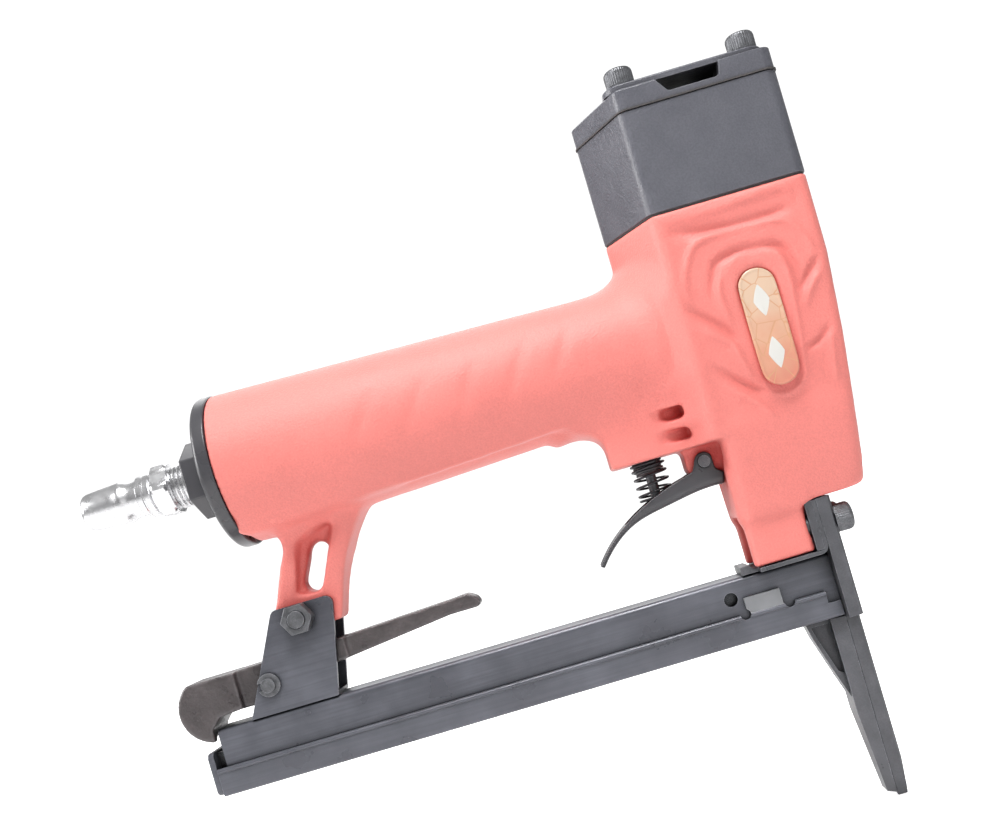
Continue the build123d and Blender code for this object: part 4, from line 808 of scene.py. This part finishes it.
def softness(points):
    """How soft the casting's edges are: least where other pieces seat and at the pockets."""
    x, _, z = points.T
    head_seat = 1.0 - 0.85 * step_up(z, 170.4, 171.2)
    end_seat = 1.0 - 0.8 * step_up(-x, 153.2, 154.2)
    block_seat = 1.0 - 0.7 * (1 - step_up(z, 73.0, 75.0))
    return head_seat * end_seat * block_seat * (1.0 - 0.7 * pocket_zone(x, z))


def raise_lines(points, skin):
    """Adds the relief to both sides of the head, and the grip grooves to the handle."""
    x, y, z = points.T
    normals = surface_normals(points, skin)
    outside = step_up(np.abs(normals[:, 1]), 0.45, 0.8) * (normals[:, 1] * y > 0)
    grooves = tuple((-GRIP_DEPTH, GRIP_BREADTH, line) for line in GRIP)
    head_sides = (x > -24) & (x < 19) & (z > 108) & (z < 171) & (np.abs(y) > 14)
    handle_sides = (x > -124) & (x < -44) & (z > 130) & (z < 155) & (np.abs(y) > 8)
    for lines, sink, region in ((RELIEF, SINK, head_sides), (grooves, 0.0, handle_sides)):
        chosen = np.flatnonzero(region & (outside > 0))
        flat = points[chosen][:, (0, 2)]
        lift = -sink * window(flat[:, 0], -18.0, 14.0, 5.0) * window(flat[:, 1], 116.0, 165.5, 5.0)
        for height, breadth, line in lines:
            distance, place = along(flat, spline(line))
            taper = np.sqrt(np.sin(np.clip(place, 0.02, 0.98) * math.pi))
            lift += RELIEF_GAIN * height * np.exp(-(distance / breadth) ** 2) * taper
        points[chosen] += normals[chosen] * (lift * outside[chosen])[:, None]


def surface_normals(points, mesh):
    """Unit normals at the points of a mesh whose faces are quads or triangles."""
    put_points(mesh, points)
    normals = np.empty(len(points) * 3, np.float32)
    mesh.vertex_normals.foreach_get("vector", normals)
    return normals.reshape(-1, 3).astype(float)


def body_shell():
    """The painted body casting, rebuilt as one skin with fillets, soft edges and relief."""
    points, skin = voxelled(welded("body_casting", dissolve=False), BODY_VOXEL)
    ends = mesh_edges(skin)
    fill_seams(points)
    points = blend_parts(points, ends)
    soft = softness(points)
    points = relax(points, ends, soft, 9)
    raise_lines(points, skin)
    points = relax(points, ends, soft, 1)
    points[:, 1] = np.clip(points[:, 1], -SIDE_LIMIT, SIDE_LIMIT)
    points[:, 2] = np.minimum(points[:, 2], HEAD_TOP)
    put_points(skin, points)
    return piece("body_shell", skin, "tool_body", "red_powder_coat", "body_casting")


body_shell()


# ------------------------------------------------------------------ castings and sheet pieces
def cast_piece(node, body, slot, voxel, rounds):
    """A CAD node as a softly rounded casting."""
    points, skin = voxelled(welded(node, dissolve=False), voxel)
    points = relax(points, mesh_edges(skin), np.ones(len(points)), rounds)
    put_points(skin, points)
    return piece(node + "_casting", skin, body, slot, node)


for node_name, slot_name, width in (
    ("head_cap", "black_cast", 0.45),
    ("exhaust_cover", "black_cast", 0.35),
    ("top_plate", "black_cast", 0.30),
    ("handle_end_cap", "satin_black", 0.45),
    ("rear_bracket", "blued_sheet", 0.22),
    ("fixed_magazine", "blued_sheet", 0.16),
    ("nose_bracket", "nose_steel", 0.25),
    ("drive_guide_plate", "nose_steel", 0.25),
    ("front_bar", "nose_steel", 0.35),
    ("long_nose_front", "nose_steel", 0.35),
    ("long_nose_rear", "nose_steel", 0.30),
    ("bracket_nut", "black_oxide", 0.30),
    ("bracket_bolt", "black_oxide", 0.30),
    ("latch_pin", "black_oxide", 0.20),
    ("latch_clips", "black_oxide", 0.12),
    ("bracket_rivets", "black_oxide", 0.15),
):
    softened(node_name, "tool_body", slot_name, width)
for node_name, slot_name, width in (
    ("moving_magazine", "blued_sheet", 0.14),
    ("magazine_end_plate", "blued_sheet", 0.15),
):
    softened(node_name, "magazine_slide", slot_name, width)


TAB_X = (-27.0, -16.2)
TAB_BOTTOM, TAB_SIDE = 61.6, 6.0


def bare_tabs():
    """Rubbed bright tabs near the front of the moving magazine."""
    mesh = bpy.data.objects["moving_magazine_finish"].data
    mesh.materials.append(MATERIALS["bare_steel"])
    for face in mesh.polygons:
        x, y, z = face.center / MM
        if TAB_X[0] < x < TAB_X[1] and z > TAB_BOTTOM and abs(y) > TAB_SIDE:
            face.material_index = 1


bare_tabs()
cast_piece("trigger", "trigger", "satin_black", 0.30, 5)
cast_piece("latch_lever", "latch_lever", "latch_cast", 0.40, 8)


# ------------------------------------------------------------------ knurled cap screws
TURNED_SIDES = 144
KNURLS, KNURL_DEPTH = 36, 0.20
KNURLED_RINGS = range(3, 7)
SOCKET_FLATS = 4.0
SOCKET_RINGS = range(10, 13)


def screw_mesh(seat, axis, shank):
    """Knurled socket-head screw; seat is the point under its head, on its axis."""
    profile = (
        (2.45, -shank), (2.45, 0.0), (3.7, 0.0), (3.95, 0.25), (4.0, 0.8), (4.0, 3.8), (3.9, 4.4),
        (3.5, 4.85), (3.2, 5.0), (2.6, 5.0), (2.1, 4.75), (2.1, 2.5), (0.6, 2.1),
    )

    def shape(i, angles, radii):
        if i in KNURLED_RINGS:
            saw = np.abs((angles * KNURLS / (2 * math.pi)) % 1 * 2 - 1)
            twist = 0.3 if i % 2 == 0 else 0.0
            return radii - KNURL_DEPTH * np.abs(saw - twist)
        if i in SOCKET_RINGS:
            return hex_radii(angles, SOCKET_FLATS) * radii / 2.1
        return radii

    return crease(ring_mesh("screw", turned(seat, axis, profile, TURNED_SIDES, shape)), 38)


def knurled_screws(node, seats, axis, shank):
    """A group of equal screws, as one piece."""
    name = node + "_knurled"
    screws = joined(name, [screw_mesh(seat, axis, shank) for seat in seats])
    piece(name, screws, "tool_body", "black_oxide", node)


cap_seats = [(x, side * 16.0, 208.2) for x in (-20.5, 13.8) for side in SIDES]
knurled_screws("cap_screws", cap_seats, (0, 0, 1), 49.7)
nose_seats = [(3.6, side * 7.3, 79.6) for side in SIDES]
knurled_screws("nose_screws", nose_seats, (1, 0, 0), 19.1)


# ------------------------------------------------------------------ air plug
PLUG_Z = 140.5
CREST, ROOT = 6.3, 5.7            # radii of the plug's threads
THREAD_START, THREAD_TURNS, THREAD_PITCH = -167.0, 4, 1.2
THREADS = [
    (radius, THREAD_START - turn * THREAD_PITCH - step * THREAD_PITCH / 3)
    for turn in range(THREAD_TURNS) for step, radius in enumerate((CREST, ROOT, CREST))
]
# radius and X of each ring: thread, hexagon, groove, collar and coupling nose, then the bore
PLUG_PROFILE = (
    (3.7, -160.5), (ROOT, -160.5), (CREST, -161.2), (CREST, -166.6), *THREADS,
    (5.9, -171.9), (5.9, -172.2),
    (7.2, -172.3), (8.2, -172.9), (8.2, -176.4), (7.2, -177.0),
    (5.7, -177.1), (5.7, -177.7),
    (6.05, -177.9), (6.25, -178.1), (6.25, -179.6), (6.05, -179.8), (6.05, -180.1),
    (6.25, -180.3), (6.25, -181.7), (6.05, -181.9),
    (5.35, -182.1), (5.3, -182.6), (5.3, -184.5), (5.5, -185.3), (5.9, -186.2), (6.1, -186.8),
    (6.1, -187.6), (5.95, -188.0), (5.85, -189.8), (5.6, -193.5), (5.3, -197.2), (5.0, -198.0),
    (4.6, -198.4), (4.0, -198.4), (3.7, -198.0),
)
HEX_FLATS, HEX_CORNER = 14.0, 8.05
HEX_CHAMFERS, HEX_FACES = (18, 21), (19, 20)      # ring numbers


def plug_shape(i, angles, radii):
    """Makes the hexagon's rings six-sided, with the corners of the outer two chamfered."""
    if i in HEX_CHAMFERS:
        return hex_radii(angles, HEX_FLATS, math.pi / 6, radii[0])
    if i in HEX_FACES:
        return hex_radii(angles, HEX_FLATS, math.pi / 6, HEX_CORNER)
    return radii


plug_rings = turned((0, 0, PLUG_Z), (1, 0, 0), PLUG_PROFILE, TURNED_SIDES, plug_shape)
piece(
    "air_plug_turned", crease(ring_mesh("air_plug_turned", plug_rings, closed=True), 25),
    "tool_body", "nickel", "air_plug",
)


# ------------------------------------------------------------------ springs
STEPS_PER_TURN = 28
CLOSED_PITCH = 2.1                # of the end turns, in wire radii


def coil_mesh(name, origin, axis, radius, wire, heights, turns, dead, sides=10):
    """Coil spring of that wire radius, with dead turns closed at each end.

    heights are where the wire's centre line starts and ends along the axis.
    """
    o, u, v, w = axis_frame(origin, axis)
    low, high = heights
    span, closed = high - low, dead * CLOSED_PITCH * wire
    t = np.linspace(0, turns, int(turns * STEPS_PER_TURN) + 1)
    height = low + np.interp(t, (0, dead, turns - dead, turns), (0, closed, span - closed, span))
    height = np.convolve(np.pad(height, 7, mode="edge"), np.ones(15) / 15, mode="valid")
    angle = t * 2 * math.pi
    outward = np.outer(np.cos(angle), u) + np.outer(np.sin(angle), v)
    path = o + np.outer(height, w) + radius * outward
    tangent = np.gradient(path, axis=0)
    tangent /= np.linalg.norm(tangent, axis=1)[:, None]
    other = np.cross(tangent, outward)
    turn = np.arange(sides) * 2 * math.pi / sides
    rings = [
        centre + wire * (np.outer(np.cos(turn), first) + np.outer(np.sin(turn), second))
        for centre, first, second in zip(path, outward, other)
    ]
    mesh = ring_mesh(name, rings)
    mesh.shade_smooth()
    return mesh


VALVE_X = -41.5
trigger_coil = piece(
    "trigger_spring_coil",
    coil_mesh(
        "trigger_spring_coil", (VALVE_X, 0, 0), (0, 0, 1), 4.72, 0.36, (98.95, 109.35), 5.6, 0.9,
    ),
    "tool_body", "black_spring", "trigger_spring",
)
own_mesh(trigger_coil)

valve_coil = piece(
    "head_valve_spring_coil",
    coil_mesh(
        "head_valve_spring_coil", (0, 0, 0), (0, 0, 1), 9.4, 0.55, (190.75, 196.6), 3.6, 0.7,
    ),
    "tool_body", "spring_steel", "head_valve_spring",
)
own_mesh(valve_coil)

latch_coil = piece(
    "latch_spring_coil",
    coil_mesh("latch_spring_coil", (-152.2, 0, 0), (0, 0, 1), 2.2, 0.3, (72.9, 77.9), 4.0, 0.7),
    "tool_body", "spring_steel", "latch_spring",
)
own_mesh(latch_coil)

feed_coil = piece(
    "pusher_spring_coil",
    coil_mesh(
        "pusher_spring_coil", (0, 0, 62.5), (1, 0, 0), 1.85, 0.25, (-180.6, -20.9), 40, 1.5, 8,
    ),
    "magazine_slide", "spring_steel", "pusher_spring",
)
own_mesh(feed_coil)


# ------------------------------------------------------------------ trigger valve
VALVE_BORE, VALVE_BODY, VALVE_GROOVE, VALVE_ROOT = 1.55, 4.3, 3.6, 3.85      # radii
RIDGES_TOP, RIDGES, RIDGE_PITCH = 109.7, 3, 1.15


def valve_profile():
    """Radius and Z of each ring: two seal grooves above, three ridges below, then the bore."""
    rings = [
        (VALVE_BORE, 126.0), (3.9, 126.0), (VALVE_BODY, 125.6), (VALVE_BODY, 122.0),
        (VALVE_GROOVE, 121.5), (VALVE_GROOVE, 119.5), (VALVE_BODY, 119.0), (VALVE_BODY, 116.0),
        (VALVE_GROOVE, 115.8), (VALVE_GROOVE, 114.2), (VALVE_BODY, 114.0), (VALVE_BODY, 110.2),
    ]
    for k in range(RIDGES):
        top = RIDGES_TOP - k * RIDGE_PITCH
        rings += [(VALVE_BODY, top), (VALVE_BODY, top - 0.35)]
        rings += [(VALVE_ROOT, top - 0.6), (VALVE_ROOT, top - 0.85)]
    return rings + [(4.0, 106.2), (3.8, 106.0), (VALVE_BORE, 106.0)]


valve_rings = turned((VALVE_X, 0, 0), (0, 0, 1), valve_profile(), 64)
piece(
    "valve_body_turned", crease(ring_mesh("valve_body_turned", valve_rings, closed=True), 25),
    "tool_body", "valve_brass", "valve_body",
)


# ------------------------------------------------------------------ badge
BADGE_X, BADGE_Z, BADGE_LENGTH, BADGE_WIDTH = -1.3, 134.8, 32.0, 10.4
BADGE_POINTS = 128
PLAQUE_LEVELS = (      # inset from the outline, and distance from the middle plane
    (0.0, 20.25), (0.0, 20.80), (0.12, 20.94), (0.35, 21.0), (0.62, 21.0), (0.80, 20.93),
    (1.0, 20.90), (2.0, 20.93), (3.4, 20.97), (4.7, 20.99),
)
LOZENGE_Z = (142.0, 127.6)
LOZENGE_HALF_WIDTH, LOZENGE_HALF_HEIGHT = 2.3, 4.6
LOZENGE_LEVELS = ((1.0, 20.85), (0.94, 21.0), (0.0, 21.0))      # scale, and distance likewise


def badge_meshes():
    """Domed enamel plaque on each side, with a plain raised lozenge pair."""
    angle = np.arange(BADGE_POINTS) * 2 * math.pi / BADGE_POINTS
    cos, sin = np.cos(angle), np.sin(angle)

    def plaque_ring(inset, out):
        radius = BADGE_WIDTH / 2 - inset
        straight = BADGE_LENGTH / 2 - BADGE_WIDTH / 2
        tall = radius * sin + straight * np.tanh(6 * sin)
        return np.stack([BADGE_X + radius * cos, np.full_like(cos, out), BADGE_Z + tall], axis=1)

    def lozenge_ring(middle, scale, out):
        wide = LOZENGE_HALF_WIDTH * scale * np.sign(cos) * np.abs(cos) ** 1.7
        tall = LOZENGE_HALF_HEIGHT * scale * np.sign(sin) * np.abs(sin) ** 1.7
        return np.stack([BADGE_X + wide, np.full_like(cos, out), middle + tall], axis=1)

    plaques, marks = [], []
    for side in SIDES:
        rings = [plaque_ring(inset, side * out) for inset, out in PLAQUE_LEVELS]
        plaques.append(crease(ring_mesh("plaque", rings), 50))
        for middle in LOZENGE_Z:
            rings = [lozenge_ring(middle, scale, side * out) for scale, out in LOZENGE_LEVELS]
            marks.append(crease(ring_mesh("mark", rings), 40))
    return joined("badge_plaques", plaques), joined("badge_lozenges", marks)


plaque_mesh, lozenge_mesh = badge_meshes()
piece("badge_plaques", plaque_mesh, "tool_body", "badge_enamel", "badges")
piece("badge_lozenges", lozenge_mesh, "tool_body", "badge_enamel", material="badge_white")


# ------------------------------------------------------------------ the CAD nodes that stay
SLOT_OF = {entry["node"]: entry["material_slot"] for entry in frame["record"]["subparts"]}
for node_name, obj in NODES.items():
    if obj.hide_render:
        continue
    obj.data.materials.clear()
    obj.data.materials.append(MATERIALS[SLOT_OF[node_name]])
